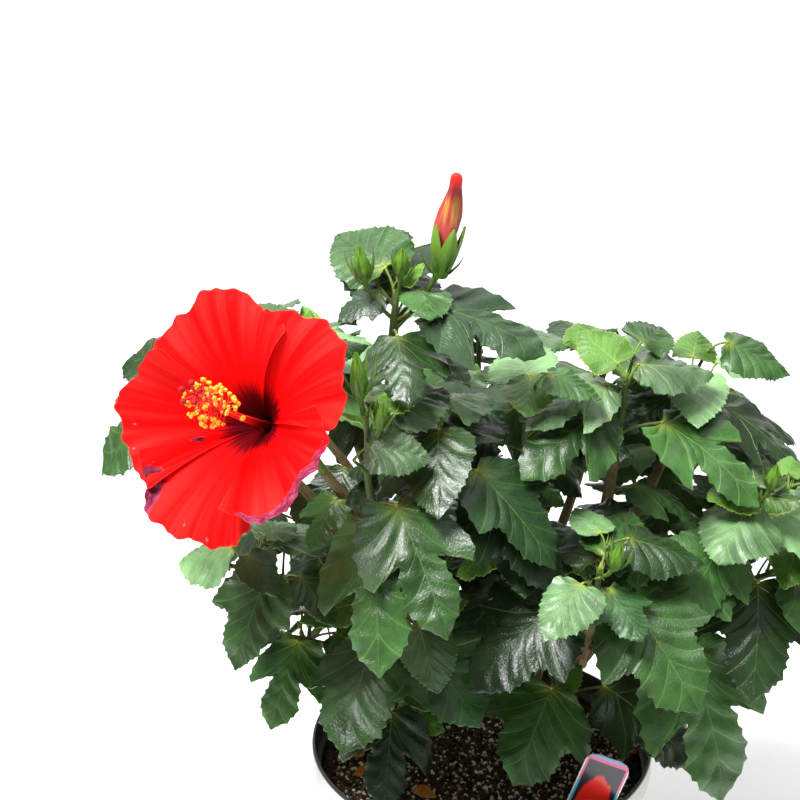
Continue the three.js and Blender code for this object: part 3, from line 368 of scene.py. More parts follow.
class Crown:
    """The sticks and leaves placed so far, and the rule that places the next."""

    def __init__(self):
        self.stems = {name: Facts(path=[vec(*p) for p in path], foot=foot, tip=tip)
                      for name, (path, foot, tip) in STEMS.items()}
        self.boughs = {}
        for name, (stem, at, path, foot, tip) in BOUGHS.items():
            start = along(self.stems[stem].path, at)
            self.boughs[name] = Facts(path=[start] + [vec(*p) for p in path], foot=foot, tip=tip)
        self.masses = []
        for number, (name, (tip, size, droop, bearings, more, twigs)) in enumerate(MASSES.items()):
            bough = self.boughs[name.replace("leaves", "bough")]
            grown = list(bearings)
            for _ in range(more):
                grown.append(widest_gap(grown, number))
            self.masses.append(Facts(
                name=name, number=number, bough=bough, size=size, droop=droop, grown=grown,
                shown=len(bearings), twigs=twigs, stem=line_on(bough.path, vec(*tip), STRAIGHT)))
        self.at, self.radius, self.owner = np.zeros((0, 3)), np.zeros(0), np.zeros(0, int)
        self.owners = {}
        self.leaves, self.twigs = [], []
        self.middles, self.lengths = np.zeros((0, 3)), np.zeros(0)
        self.finer = False
        self.add_fixed_sticks()

    def add_fixed_sticks(self):
        for limbs in (self.stems, self.boughs):
            for name, limb in limbs.items():
                self.add_stick(name, limb.path, limb.foot, limb.tip)
        for mass in self.masses:
            self.add_stick(mass.name, mass.stem, mass.bough.tip, STEM_TIP)
        for mass, _, foot, tip, wide in BUDS:
            self.add_stick(mass, [vec(*foot), vec(*tip)], wide, wide)
        for share in (-0.5, 0, 0.5):
            ends = [on_label(share * LABEL.width, y) for y in (LABEL.sunk, LABEL.height)]
            self.add_stick("label", ends, LABEL.thick, LABEL.thick)

    def add_stick(self, owner, path, foot, tip):
        number = self.owners.setdefault(owner, len(self.owners))
        count = math.ceil(length_of(path) / STICK_PACE)
        points = np.array([along(path, k / count) for k in range(count + 1)])
        self.at = np.vstack((self.at, points))
        self.radius = np.append(self.radius, foot + (tip - foot) * np.arange(count + 1) / count)
        self.owner = np.append(self.owner, np.full(count + 1, number))

    def fits(self, leaf, owner):
        if out_of_space(leaf.points).any() or near_blade(leaf, self.at, self.radius + ROOM.limb).any():
            return False
        if self.finer and in_openings(leaf.points):
            return False
        stalk = stalk_path(leaf)
        points = np.array([along(stalk, share) for share in (0.25, 0.5, 0.75, 1)])
        if (in_bloom(points) | in_pot(points)).any():
            return False
        foreign = self.owner != self.owners.get(owner, -1)
        room = self.radius[foreign] + STALK.radius + ROOM.limb
        apart = self.at[foreign][:, None] - points[None]
        if ((apart * apart).sum(-1) < (room * room)[:, None]).any():
            return False
        if not self.leaves:
            return True
        apart = self.middles - leaf.middle
        close = (apart * apart).sum(-1) <= (ZONE.reach * (self.lengths + leaf.length)) ** 2
        beside = np.linalg.norm(self.middles - points[1], axis=1) < 1.3 * self.lengths + leaf.length
        for number in np.flatnonzero(close | beside):
            other = self.leaves[number]
            room = ROOM.own if other.owner == owner else ROOM.other
            if close[number] and (near_blade(other, leaf.points, room).any()
                                  or near_blade(leaf, other.points, room).any()):
                return False
            if near_blade(other, points, ROOM.stalk).any():
                return False
        return True

    def try_leaf(self, owner, foot, bearing, rise, stalk, droop, shape, **facts):
        """A leaf's place is tried at each size, bearing and pitch in turn until it fits."""
        for size in SIZES:
            for turn, pitch in NUDGES:
                reach = towards(bearing + turn, rise) * (stalk * (0.5 + 0.5 * size))
                sized = {**shape, "length": shape["length"] * size}
                leaf = make_leaf(foot, foot + reach, bearing + turn, droop + pitch, sized)
                if self.fits(leaf, owner):
                    leaf.owner, leaf.number = owner, len(self.leaves)
                    vars(leaf).update(facts)
                    self.leaves.append(leaf)
                    self.middles = np.vstack((self.middles, leaf.middle))
                    self.lengths = np.append(self.lengths, leaf.length)
                    self.add_stick(owner, stalk_path(leaf), STALK.radius, STALK.radius)
                    return True
        return False

    def grow_leaf(self, mass, number, bearing, age, size, foot_share):
        dice = Dice(mass.number * 7919 + number * 104729 + 17)
        grown = YOUNG.length + AGED.length * math.sqrt(age)
        length = size * grown * (1 + dice.swing(CHANCE.length))
        stalk = length * (YOUNG.stalk + AGED.stalk * age)
        rise = YOUNG.rise + AGED.rise * age + dice.swing(CHANCE.rise)
        turn = bearing + dice.swing(CHANCE.turn)
        droop = mass.droop + AGED.droop * age + dice.swing(CHANCE.droop)
        roll = dice.swing(CHANCE.roll)
        cut = "lobed" if dice.roll() < LOBED_SHARE else "deep"
        shape = dict(
            length=length, roll=roll, kind="ovate" if age < OVATE_BELOW_AGE else cut,
            fold=YOUNG.fold + dice.swing(CHANCE.fold),
            bend=YOUNG.bend + AGED.bend * age + dice.swing(CHANCE.bend),
            width=YOUNG.width + dice.swing(CHANCE.width))
        foot = along(mass.stem, foot_share)
        self.try_leaf(mass.name, foot, turn, rise, stalk, droop, shape, age=age, rank=number)

    def grow_twig(self, mass, number):
        dice = Dice(mass.number * 6007 + number * 15013 + 5)
        foot = along(mass.stem, min(TWIG.start + TWIG.pace * number, 0.95))
        turn = widest_gap(mass.grown, mass.number) + GOLDEN_ANGLE * number + dice.swing(TWIG_CHANCE.turn)
        reach = TWIG.length + dice.swing(TWIG_CHANCE.length)
        tip = foot + towards(turn, TWIG.rise) * reach
        leaves = 0
        for spread, size, rise in TWIG_LEAVES:
            length = mass.size * size * (1 + dice.swing(TWIG_CHANCE.size))
            droop = mass.droop + TWIG_LEAF.droop + dice.swing(TWIG_CHANCE.droop)
            shape = dict(
                length=length, roll=dice.swing(TWIG_CHANCE.roll), kind="ovate",
                fold=TWIG_LEAF.fold + dice.swing(TWIG_CHANCE.fold),
                bend=TWIG_LEAF.bend + dice.swing(TWIG_CHANCE.bend),
                width=TWIG_LEAF.width + dice.swing(TWIG_CHANCE.width))
            stalk = length * TWIG_LEAF.stalk
            leaves += self.try_leaf(mass.name, tip, turn + spread, rise, stalk, droop, shape,
                                    age=0.3, rank=RANK.twig + number)
        if leaves:
            self.twigs.append([foot, (foot + tip) / 2, tip])

    def grow(self):
        """Leaves in front come first, then the others, then those of side twigs, then the finer ones."""
        for shown in (True, False):
            for mass in self.masses:
                for i, bearing in enumerate(mass.grown):
                    if (i < mass.shown) == shown:
                        age = 1 - i / max(len(mass.grown) - 1, 1)
                        share = ON_STEM.foot + ON_STEM.length * (1 - age)
                        self.grow_leaf(mass, i, bearing, age, mass.size, share)
        for mass in self.masses:
            for i in range(mass.twigs):
                self.grow_twig(mass, i)
        self.grow_finer()
        return self

    def grow_finer(self):
        self.finer = True
        for mass in self.masses:
            for i in range(FINER.twigs):
                self.grow_twig(mass, mass.twigs + i)
        for mass in self.masses:
            for i in range(FINER.leaves):
                bearing = widest_gap(mass.grown, mass.number)
                mass.grown.append(bearing)
                age = 0.9 - 0.7 * i / FINER.leaves
                size = mass.size * FINER.leaf_size
                self.grow_leaf(mass, RANK.finer + i, bearing, age, size, 0.95 - 0.8 * age)
        for number, (name, bough) in enumerate(self.boughs.items()):
            limb = Facts(name=name, number=FIRST_BOUGH + number, stem=bough.path, droop=14)
            for i, share in enumerate(FINER.bough_leaves):
                bearing = (number * 71 + i * GOLDEN_ANGLE) % 360
                self.grow_leaf(limb, i, bearing, 0.8 - 0.2 * i, FINER.bough_size, share)


# Meshes

class Piece:
    """Points in millimetres, faces, looks and two vectors a point, gathered for one joined mesh."""

    def __init__(self):
        self.points, self.faces, self.looks, self.marks = [], [], [], []
        self.shapes = []
        self.count = 0

    def add(self, points, faces, marks=None, looks=0):
        points = np.asarray(points, float).reshape(-1, 3)
        self.shapes.append((points, faces, marks, looks))
        for number, block in enumerate(faces):
            look = looks[number] if isinstance(looks, (list, tuple)) else looks
            self.faces += (np.asarray(block) + self.count).tolist()
            self.looks += [look] * len(block)
        self.points.append(points)
        self.marks.append(np.zeros((len(points), 6)) if marks is None else np.asarray(marks).reshape(-1, 6))
        self.count += len(points)

    def split(self, most):
        """The same added shapes, dealt in turn to as many pieces as keep each below a number of triangles."""
        triangles = sum(len(face) - 2 for face in self.faces)
        parts = [Piece() for _ in range(triangles // most + 1)]
        for number, (points, faces, marks, looks) in enumerate(self.shapes):
            parts[number % len(parts)].add(points, faces, marks, looks)
        return parts

    def finish(self, name, looks, slot, nodes, sharp=50):
        """The gathered mesh with its looks and marks, settled as a piece."""
        mesh = plain_mesh(self, name)
        for look in looks:
            mesh.materials.append(look)
        mesh.polygons.foreach_set("material_index", self.looks)
        marks = np.vstack(self.marks)
        for key, columns in (("pattern", marks[:, :3]), ("place", marks[:, 3:])):
            layer = mesh.attributes.new(key, "FLOAT_VECTOR", "POINT")
            layer.data.foreach_set("vector", columns.astype(np.float32).ravel())
        mesh.polygons.foreach_set("use_smooth", [True] * len(mesh.polygons))
        mesh.set_sharp_from_angle(angle=math.radians(sharp))
        mesh.validate()
        return settle(name, mesh, nodes)

    def finish_green(self, name, *looks):
        """A piece that runs through every mass of leaves."""
        self.finish(name, looks, "leaf", list(MASSES), 60)


def put(name, data):
    """An object of the data, in the scene."""
    made = bpy.data.objects.new(name, data)
    bpy.context.scene.collection.objects.link(made)
    return made


def baked(holder, modifier):
    """The mesh that a modifier makes of an object. The modifier is then taken off."""
    bpy.context.view_layer.update()
    ready = holder.evaluated_get(bpy.context.evaluated_depsgraph_get())
    mesh = bpy.data.meshes.new_from_object(ready)
    holder.modifiers.remove(modifier)
    return mesh


def plain_mesh(piece, name):
    """The gathered shapes in metres, without looks or marks."""
    mesh = bpy.data.meshes.new(name)
    mesh.from_pydata((np.vstack(piece.points) * MM).tolist(), [], piece.faces)
    return mesh


def settle(name, mesh, nodes):
    """A piece in the scene that rides on the plant and stands for the nodes."""
    piece = put(name, mesh)
    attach(piece, "root")
    if nodes:
        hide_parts(*nodes)
    return piece


def grid(rows, columns, wrap=False):
    """Four-sided faces of a grid of points, numbered row by row."""
    i, j = np.meshgrid(np.arange(rows - 1), np.arange(columns if wrap else columns - 1), indexing="ij")
    right = (j + 1) % columns
    quads = (i * columns + j, (i + 1) * columns + j, (i + 1) * columns + right, i * columns + right)
    return np.stack([q.ravel() for q in quads], axis=1)


def shell_faces(rows, columns):
    """Faces of a closed sheet: a grid of points above, the same below, and the rim between them.

    Each face below starts at the same corner as its fellow above, so both are cut along the same diagonal.
    """
    top = grid(rows, columns)
    below = rows * columns
    edge = list(range(columns)) + [i * columns + columns - 1 for i in range(1, rows)]
    edge += [(rows - 1) * columns + j for j in range(columns - 2, -1, -1)]
    edge += [i * columns for i in range(rows - 2, 0, -1)]
    edge = np.array(edge)
    onward = np.roll(edge, -1)
    rim = np.stack((edge, onward, onward + below, edge + below), axis=1)
    return top, top[:, [0, 3, 2, 1]] + below, rim


def turned_over(blocks):
    """The same faces, seen from the other side."""
    return [faces[:, ::-1] for faces in blocks]


def frames_along(path, steps):
    """Centres and two crossing directions at even shares of a smooth path, turned as little as can be."""
    centres, rights, overs = [], [], []
    across = None
    for k in range(steps + 1):
        share = k / steps
        ahead = unit(along(path, min(share + 0.01, 1)) - along(path, max(share - 0.01, 0)))
        guide = across if across is not None else (vec(1, 0, 0) if abs(ahead[0]) < 0.8 else vec(0, 1, 0))
        across = unit(guide - ahead * (guide @ ahead))
        centres.append(along(path, share))
        rights.append(across)
        overs.append(cross(across, ahead))
    return np.array(centres), np.array(rights), np.array(overs)


def round_angles(sides):
    return np.arange(sides) * 2 * math.pi / sides


def marks_of(*values):
    """Pattern and place vectors of a grid of points, from six values that may vary over it."""
    return np.stack(np.broadcast_arrays(*values), axis=-1)


def tube(piece, path, radii, sides, relief=None, look=0, tone=0.0):
    """A closed tube on a path. Radii are given step by step, and relief multiplies them point by point."""
    steps = len(radii) - 1
    centres, rights, overs = frames_along(path, steps)
    angles = round_angles(sides)
    reach = np.asarray(radii, float)[:, None] * (np.ones((steps + 1, sides)) if relief is None else relief)
    around = rights[:, None] * np.cos(angles)[None, :, None] - overs[:, None] * np.sin(angles)[None, :, None]
    points = (centres[:, None] + around * reach[..., None]).reshape(-1, 3)
    length = length_of([along(path, k / 8) for k in range(9)])
    share = (np.arange(steps + 1) / steps)[:, None]
    wide = np.mean(radii)
    marks = marks_of(np.cos(angles) * wide, np.sin(angles) * wide, share * length, share, tone, 0)
    body = grid(steps + 1, sides, wrap=True)
    last = (steps + 1) * sides
    ring = np.arange(sides)
    foot = np.stack((np.full(sides, last), ring, np.roll(ring, -1)), axis=1)
    tip = np.stack((np.full(sides, last + 1), last - sides + np.roll(ring, -1), last - sides + ring), axis=1)
    marks = np.vstack((marks.reshape(-1, 6), marks[0, :1], marks[-1, :1]))
    piece.add(np.vstack((points, centres[:1], centres[-1:])), [body, foot, tip], marks, look)


def ball(piece, centre, radii, look=0, detail=1, tone=0.0):
    """A small closed ball, stretched along the plant's axes."""
    shape = bmesh.new()
    bmesh.ops.create_icosphere(shape, subdivisions=detail, radius=1)
    points = np.array([v.co[:] for v in shape.verts]) * radii + centre
    faces = [[v.index for v in f.verts] for f in shape.faces]
    shape.free()
    piece.add(points, [np.array(faces)], marks_of(np.zeros(len(points)), 0, 0, 0, tone, 0), look)


# Leaves

# Shares of the half outline's length where the side veins end. Each ends in a tooth
VEINS = (0, 0.11, 0.25, 0.42, 0.55, 0.67, 0.78, 0.88, 1)
RELIEF = Facts(quilt=0.014, ruffle=0.075, tooth=0.042, crumple=0.017, climb=2.5, thick=0.0085)
LEAF_GRID = Facts(per_vein=6, across=5, per_vein_small=3, across_small=3, small=30)


def dense_outline(kind):
    """Shares, x and y of a smooth half outline, with one rounded tooth at the end of each side vein."""
    corners = [vec(x, y, 0) for x, y in OUTLINES[kind]]
    points = np.array([along(corners, k / 300) for k in range(301)])[:, :2]
    steps = np.linalg.norm(np.diff(points, axis=0), axis=1)
    shares = np.append(0, np.cumsum(steps)) / steps.sum()
    even = np.linspace(0, 1, 401)
    x, y = np.interp(even, shares, points[:, 0]), np.interp(even, shares, points[:, 1])
    dx, dy = np.gradient(x), np.gradient(y)
    scale = np.hypot(dx, dy)
    phase = np.interp(even, VEINS, range(len(VEINS)))
    part = phase % 1
    tooth = np.interp(part, (0, 0.17, 0.34, 0.5, 0.67, 0.84, 1), (1, 0.45, 0.3, 0.75, 0.1, 0.5, 1))
    tooth *= RELIEF.tooth * np.minimum(even * 6, 1) * np.minimum((1 - even) * 5, 1)
    return even, x - dy / scale * tooth, np.maximum(y + dx / scale * tooth, 0)


DENSE = {kind: dense_outline(kind) for kind in OUTLINES}


def blade_surface(leaf, s, t):
    """Points of a blade's upper face: s runs along the margin from notch to tip, t from edge to edge."""
    shares, xs, ys = DENSE[leaf.kind]
    s, t = np.broadcast_arrays(np.asarray(s, float), np.asarray(t, float))
    margin_x, margin_y = np.interp(s, shares, xs), np.interp(s, shares, ys)
    rib = np.minimum(s, 1) ** RELIEF.climb
    out = np.abs(t)
    sweep = 0.05 * np.sin(math.pi * out) * np.sin(math.pi * s)
    x = rib + (margin_x - rib) * out + sweep
    y = margin_y * t * leaf.width * (1 + leaf.lopsided * np.sign(t))
    phase = np.interp(s, VEINS, range(len(VEINS)))
    dome = np.abs(np.sin(math.pi * phase)) ** 0.8 * (1 - np.exp(-7 * out)) * (1 - 0.8 * out**4)
    dome = dome * (0.75 + 0.6 * np.sin(5 * x + 3 * np.sign(t) + 9 * leaf.shift))
    turn_share = 1 - np.arctan2(np.abs(y), x - 0.12) / math.pi
    reach = np.clip(np.hypot(x - 0.3, y) / 0.55, 0, 1)
    swell = np.sin(2 * math.pi * (leaf.waves * turn_share + leaf.shift))
    swell += 0.5 * np.sin(2 * math.pi * (4.3 * turn_share + 3 * leaf.shift))
    ruffle = leaf.ruffle * reach**2.5 * swell * np.sin(math.pi * np.minimum(turn_share * 1.15, 1)) ** 0.5
    twist = leaf.twist * x * y
    crumple = np.sin(9 * x + 11 * leaf.shift) * np.sin(12 * y + 5 * leaf.shift + 4 * x)
    crumple = leaf.crumple * (crumple + 0.5 * np.sin(23 * x * leaf.waves - 17 * y)) * np.minimum(out * 4, 1)
    z = sheet_height(leaf, x, y) + leaf.quilt * dome + ruffle + twist + crumple
    return x, y, z, phase


def dress_leaf(leaf, dice):
    """The chance shape of a leaf's surface, over the blade that the rule has placed."""
    leaf.lopsided = dice.swing(0.07)
    leaf.waves = 1.6 + dice.swing(0.6)
    leaf.shift = dice.roll()
    leaf.ruffle = RELIEF.ruffle * (0.55 + 0.65 * dice.roll())
    leaf.quilt = RELIEF.quilt * (0.7 + 0.6 * dice.roll())
    leaf.twist = dice.swing(0.3)
    leaf.crumple = RELIEF.crumple * (0.5 + dice.roll())
    leaf.shade = dice.roll()


def blade_mesh(piece, leaf, looks=(0, 1)):
    """The blade as a closed sheet: upper face, paler underside and rim."""
    small = leaf.length < LEAF_GRID.small
    per_vein = LEAF_GRID.per_vein_small if small else LEAF_GRID.per_vein
    across = LEAF_GRID.across_small if small else LEAF_GRID.across
    spans = (len(VEINS) - 1) * per_vein
    s = np.interp(np.arange(spans + 1) / per_vein, range(len(VEINS)), VEINS)
    s[-1] = 0.995
    t = np.linspace(-1, 1, 2 * across + 1)
    x, y, z, phase = blade_surface(leaf, s[:, None], t[None, :])
    thick = max(RELIEF.thick, 0.45 / leaf.length)
    upper = on_leaf(leaf, x, y, z)
    lower = on_leaf(leaf, x, y, z - thick)
    near_foot = np.exp(-((x * x + y * y) / 0.085**2))
    scale = leaf.length / 60
    own = leaf.number
    marks = marks_of(phase, np.abs(t), near_foot, x * scale + own * 1.7, y * scale, own * 0.61)
    piece.add(np.stack((upper, lower)), shell_faces(*x.shape), np.stack((marks, marks)),
              [looks[0], looks[1], looks[0]])


def rib_mesh(piece, leaf):
    """The midrib and the four strong side veins, which stand a little proud of the blade's upper face."""
    lines = [(np.linspace(0.1, 0.96, 12), 0.0, 0.95, 0.22)]
    columns = np.linspace(0, 1, LEAF_GRID.across + 1)
    for vein, width in ((2, 0.42), (3, 0.58)):
        for side in (-1, 1):
            lines.append((VEINS[vein], side * columns, width, 0.16))
    for s, t, wide, narrow in lines:
        x, y, z, _ = blade_surface(leaf, s, t)
        centre = on_leaf(leaf, x, y, z)
        ahead = np.gradient(centre, axis=0)
        ahead /= np.linalg.norm(ahead, axis=1)[:, None]
        side = np.cross(leaf.up, ahead)
        side /= np.linalg.norm(side, axis=1)[:, None]
        steps = len(centre)
        scale = min(leaf.length / 70, 1.15)
        half = np.linspace(wide, narrow, steps)[:, None] * scale * 0.8
        low = leaf.up * 0.25 * scale
        crest = centre + leaf.up * (half * 0.5 + 0.08 * scale)
        rows = np.stack((centre - side * half - low, crest, centre + side * half - low), axis=1)
        body = grid(steps, 3, wrap=True)[:, ::-1]
        ends = np.array(((0, 1, 2), ((steps - 1) * 3 + 2, (steps - 1) * 3 + 1, (steps - 1) * 3)))
        piece.add(rows, [body, ends])


def stalk_mesh(piece, leaf, tone):
    thick = 0.55 + 0.45 * min(leaf.length / 70, 1)
    tube(piece, stalk_path(leaf), np.array((1.35, 1.0, 0.85, 0.8, 0.9, 1.15)) * thick, 6, tone=tone)


def joint_mesh(piece, leaf):
    """The swollen, yellowish joint where the stalk meets the blade."""
    size = 1.3 * min(max(leaf.length / 60, 0.5), 1.2)
    ball(piece, leaf.base + leaf.up * 0.2, (size, size, size * 0.8))


# The height above which a leaf is at the top and below which it is low, the reach from the middle within
# which it is inside, and the length below which a tip's leaf is bright
TONE_AT = Facts(top=330, low=250, inside=70, bright=38)


def tone_of(leaf):
    """The tone of a leaf by age and place: bright at the tips, then fresh, then dark. The deep tone is
    painted shade, given to the finer leaves and to leaves low or inside the crown.
    """
    finer = leaf.rank >= RANK.finer
    x, y, z = leaf.base
    if leaf.rank >= RANK.twig and not finer and leaf.shade < 0.3 or leaf.age < 0.12:
        return "bright" if leaf.length < TONE_AT.bright else "fresh"
    if leaf.age < 0.5 and not finer and leaf.shade < (0.75 if z > TONE_AT.top else 0.62):
        return "fresh"
    # Painted shade: the darker deep tone goes to the finer leaves and to leaves low or inside the crown
    inside = math.hypot(x, y) < TONE_AT.inside
    if finer or z < TONE_AT.low and leaf.shade < 0.6 or inside and leaf.shade < 0.7:
        return "deep"
    return "dark"


# Looks

def socket_group(name, inputs, outputs, tree="ShaderNodeTree"):
    """An empty group with named inputs (name, kind, default) and outputs (name, kind), and its two ends."""
    group = bpy.data.node_groups.new(name, tree)
    for label, kind, default in inputs:
        made = group.interface.new_socket(name=label, in_out="INPUT", socket_type="NodeSocket" + kind)
        if default is not None:
            made.default_value = default
    for label, kind in outputs:
        group.interface.new_socket(name=label, in_out="OUTPUT", socket_type="NodeSocket" + kind)
    w = Wiring(group)
    return group, w, w.node("NodeGroupInput").outputs, w.node("NodeGroupOutput").inputs


class Wiring:
    """Short calls that add nodes to a tree and link them."""

    def __init__(self, tree):
        self.tree = tree

    def node(self, kind, settings=None, **inputs):
        """A node with its settings, fed by the names of its inputs, or by their numbers: i0, i1 and so on."""
        made = self.tree.nodes.new(kind)
        for key, value in (settings or {}).items():
            setattr(made, key, value)
        for key, value in inputs.items():
            name = key.replace("_", " ")
            self.feed(made.inputs[name] if name in made.inputs else made.inputs[int(key[1:])], value)
        return made

    def feed(self, socket, value):
        if isinstance(value, bpy.types.NodeSocket):
            self.tree.links.new(value, socket)
        else:
            socket.default_value = value

    def feed_all(self, sockets, values):
        for key, value in values.items():
            self.feed(sockets[key.replace("_", " ")], value)

    def math(self, operation, first, second=0.0, third=0.0):
        made = self.node("ShaderNodeMath", {"operation": operation}, i0=first, i1=second, i2=third)
        return made.outputs[0]

    def times(self, first, second):
        return self.math("MULTIPLY", first, second)

    def plus(self, first, second):
        return self.math("ADD", first, second)

    def minus(self, first, second):
        return self.math("SUBTRACT", first, second)

    def fall(self, value, low, high):
        """1 below low and 0 above high, smooth between."""
        return self.minus(1.0, self.ramp(value, low, high))

    def ramp(self, value, low, high):
        """0 below low and 1 above high, smooth between."""
        settings = {"interpolation_type": "SMOOTHSTEP"}
        return self.node("ShaderNodeMapRange", settings, Value=value, From_Min=low, From_Max=high).outputs[0]

    def mix(self, share, first, second, blend="MIX"):
        settings = {"data_type": "RGBA", "blend_type": blend}
        return self.node("ShaderNodeMix", settings, i0=share, i6=first, i7=second).outputs[2]

    def noise(self, vector, scale, detail=3.0, roughness=0.5):
        return self.node("ShaderNodeTexNoise", None, Vector=vector, Scale=scale, Detail=detail,
                         Roughness=roughness).outputs[0]

    def cells(self, vector, scale, feature="F1"):
        return self.node("ShaderNodeTexVoronoi", {"feature": feature}, Vector=vector, Scale=scale).outputs

    def sized(self, vector, scale):
        made = self.node("ShaderNodeVectorMath", {"operation": "SCALE"}, Vector=vector, Scale=scale)
        return made.outputs[0]

    def stretch(self, vector, scale):
        return self.node("ShaderNodeMapping", None, Vector=vector, Scale=scale).outputs[0]

    def vector(self, name):
        return self.node("ShaderNodeAttribute", {"attribute_name": name}).outputs["Vector"]

    def place(self):
        return self.node("ShaderNodeTexCoord").outputs["Object"]

    def tone(self):
        return self.parts(self.vector("place"))[1]

    def parts(self, vector):
        return self.node("ShaderNodeSeparateXYZ", None, Vector=vector).outputs


def make_blade_group():
    """Veins, areoles and mottling of a leaf, from its pattern and place attributes."""
    group, w, given, result = socket_group(
        "Blade surface",
        [("Pattern", "Vector", None), ("Place", "Vector", None), ("Vein width", "Float", 0.045)],
        [("Veins", "Float"), ("Mottle", "Float"), ("Height", "Float"), ("Edge", "Float"), ("Foot", "Float")])
    phase, out, foot = w.parts(given["Pattern"])
    part = w.math("FRACT", phase)
    apart = w.math("MINIMUM", part, w.minus(1.0, part))
    spread = w.math("DIVIDE", apart, given["Vein width"])
    side = w.fall(spread, 0.4, 1.5)
    rib = w.fall(out, 0.012, 0.045)
    areoles = w.cells(given["Place"], 26.0, "DISTANCE_TO_EDGE")[0]
    fine = w.cells(given["Place"], 60.0)[0]
    mottle = w.noise(given["Place"], 3.2, 4.0, 0.62)
    height = w.times(w.ramp(areoles, 0.0, 0.22), 0.55)
    height = w.plus(height, w.times(fine, 0.25))
    height = w.plus(height, w.times(mottle, 0.5))
    height = w.minus(height, w.times(side, 0.9))
    veins = w.math("MAXIMUM", side, rib)
    w.feed_all(result, dict(Veins=veins, Mottle=w.ramp(mottle, 0.3, 0.7), Height=height,
                            Edge=w.ramp(out, 0.93, 1.0), Foot=foot))
    return group


def make_fibre_group():
    """Long fibres and spots that run along a limb, from its pattern attribute."""
    group, w, given, result = socket_group(
        "Fibres", [("Pattern", "Vector", None), ("Scale", "Float", 1.0)],
        [("Streaks", "Float"), ("Spots", "Float"), ("Height", "Float")])
    sized = w.sized(given["Pattern"], given["Scale"])
    streaks = w.noise(w.stretch(sized, (1.0, 1.0, 0.12)), 1.7, 5.0, 0.62)
    spots = w.cells(sized, 0.42)[0]
    dots = w.fall(spots, 0.08, 0.22)
    height = w.plus(streaks, w.times(dots, 0.4))
    w.feed_all(result, dict(Streaks=w.ramp(streaks, 0.3, 0.7), Spots=dots, Height=height))
    return group


def make_grain_group():
    """Moulded grain, scuffs and settled dust, from object coordinates."""
    group, w, given, result = socket_group(
        "Grain and dust", [("Vector", "Vector", None), ("Scale", "Float", 1.0)],
        [("Dust", "Float"), ("Scuffs", "Float"), ("Height", "Float")])
    sized = w.sized(given["Vector"], given["Scale"])
    broad = w.noise(sized, 28.0, 5.0, 0.6)
    scuffs = w.noise(w.stretch(sized, (1.0, 1.0, 7.0)), 60.0, 4.0, 0.7)
    grain = w.noise(sized, 900.0, 2.0, 0.5)
    height = w.plus(grain, w.times(scuffs, 0.6))
    w.feed_all(result, dict(Dust=w.ramp(broad, 0.45, 0.72), Scuffs=w.ramp(scuffs, 0.62, 0.74), Height=height))
    return group


def new_look(name, **plain):
    """A material with its wiring and its Principled shader, whose plain values are set on its own sockets."""
    look = bpy.data.materials.new(name)
    look.use_nodes = True
    w = Wiring(look.node_tree)
    shader = look.node_tree.nodes["Principled BSDF"]
    w.feed_all(shader.inputs, plain)
    return look, w, shader


def surface(w, shader, base, rough=None, height=None, strength=0.5, distance=0.0005):
    """Feed a look's colour, and where given its roughness and the height of its relief."""
    w.feed(shader.inputs["Base Color"], base)
    if rough is not None:
        w.feed(shader.inputs["Roughness"], rough)
    if height is not None:
        made = w.node("ShaderNodeBump", None, Height=height, Strength=strength, Distance=distance)
        w.feed(shader.inputs["Normal"], made.outputs[0])


def placed_group(w, name, maker, **inputs):
    made = w.node("ShaderNodeGroup", {"node_tree": bpy.data.node_groups.get(name) or maker()})
    w.feed_all(made.inputs, inputs)
    return made.outputs


def colour(value, strength=1.0):
    return (value[0] * strength, value[1] * strength, value[2] * strength, 1.0)


LEAF_FOOT = (0.27, 0.33, 0.03)


def leaf_look(name, base, shades, vein, roughness, coat, edge=None, height=0.0005, shown=0.4, spread=1.3):
    """A blade's look: its colour at two strengths in a mottling, its veins, and each leaf's own strength."""
    look, w, shader = new_look(name, Coat_Weight=coat, Coat_Roughness=0.33, Specular_IOR_Level=0.38)
    place = w.vector("place")
    blade = placed_group(w, "Blade surface", make_blade_group, Pattern=w.vector("pattern"), Place=place)
    base = w.mix(blade["Mottle"], colour(base, shades[0]), colour(base, shades[1]))
    base = w.mix(w.times(blade["Veins"], shown), base, colour(vein))
    base = w.mix(w.times(blade["Foot"], 0.6), base, colour(LEAF_FOOT))
    if edge:
        base = w.mix(w.times(blade["Edge"], 0.7), base, colour(edge))
    chance = w.math("FRACT", w.parts(place)[2])
    varied = w.times(w.math("POWER", chance, 1.5), spread)
    base = w.mix(1.0, base, w.plus(0.52, varied), "MULTIPLY")
    rough = w.plus(w.plus(roughness, w.times(blade["Mottle"], 0.12)), w.times(chance, 0.1))
    surface(w, shader, base, rough, blade["Height"], 0.38, height)
    return look


def fibre_look(name, dark, light, spot, roughness, strength, distance, scale=1.0, tip=None, specular=0.3):
    """A limb's look, in two colours of long fibres and with spots, and another colour towards its tip."""
    look, w, shader = new_look(name, Specular_IOR_Level=specular)
    skin = placed_group(w, "Fibres", make_fibre_group, Pattern=w.vector("pattern"), Scale=scale)
    base = w.mix(skin["Streaks"], colour(dark), colour(light))
    base = w.mix(w.times(skin["Spots"], 0.6), base, colour(spot))
    if tip:
        base = w.mix(w.ramp(w.tone(), 0.2, 0.9), base, colour(tip))
    rough = w.plus(roughness - 0.08, w.times(skin["Streaks"], 0.16))
    surface(w, shader, base, rough, skin["Height"], strength, distance)
    return look


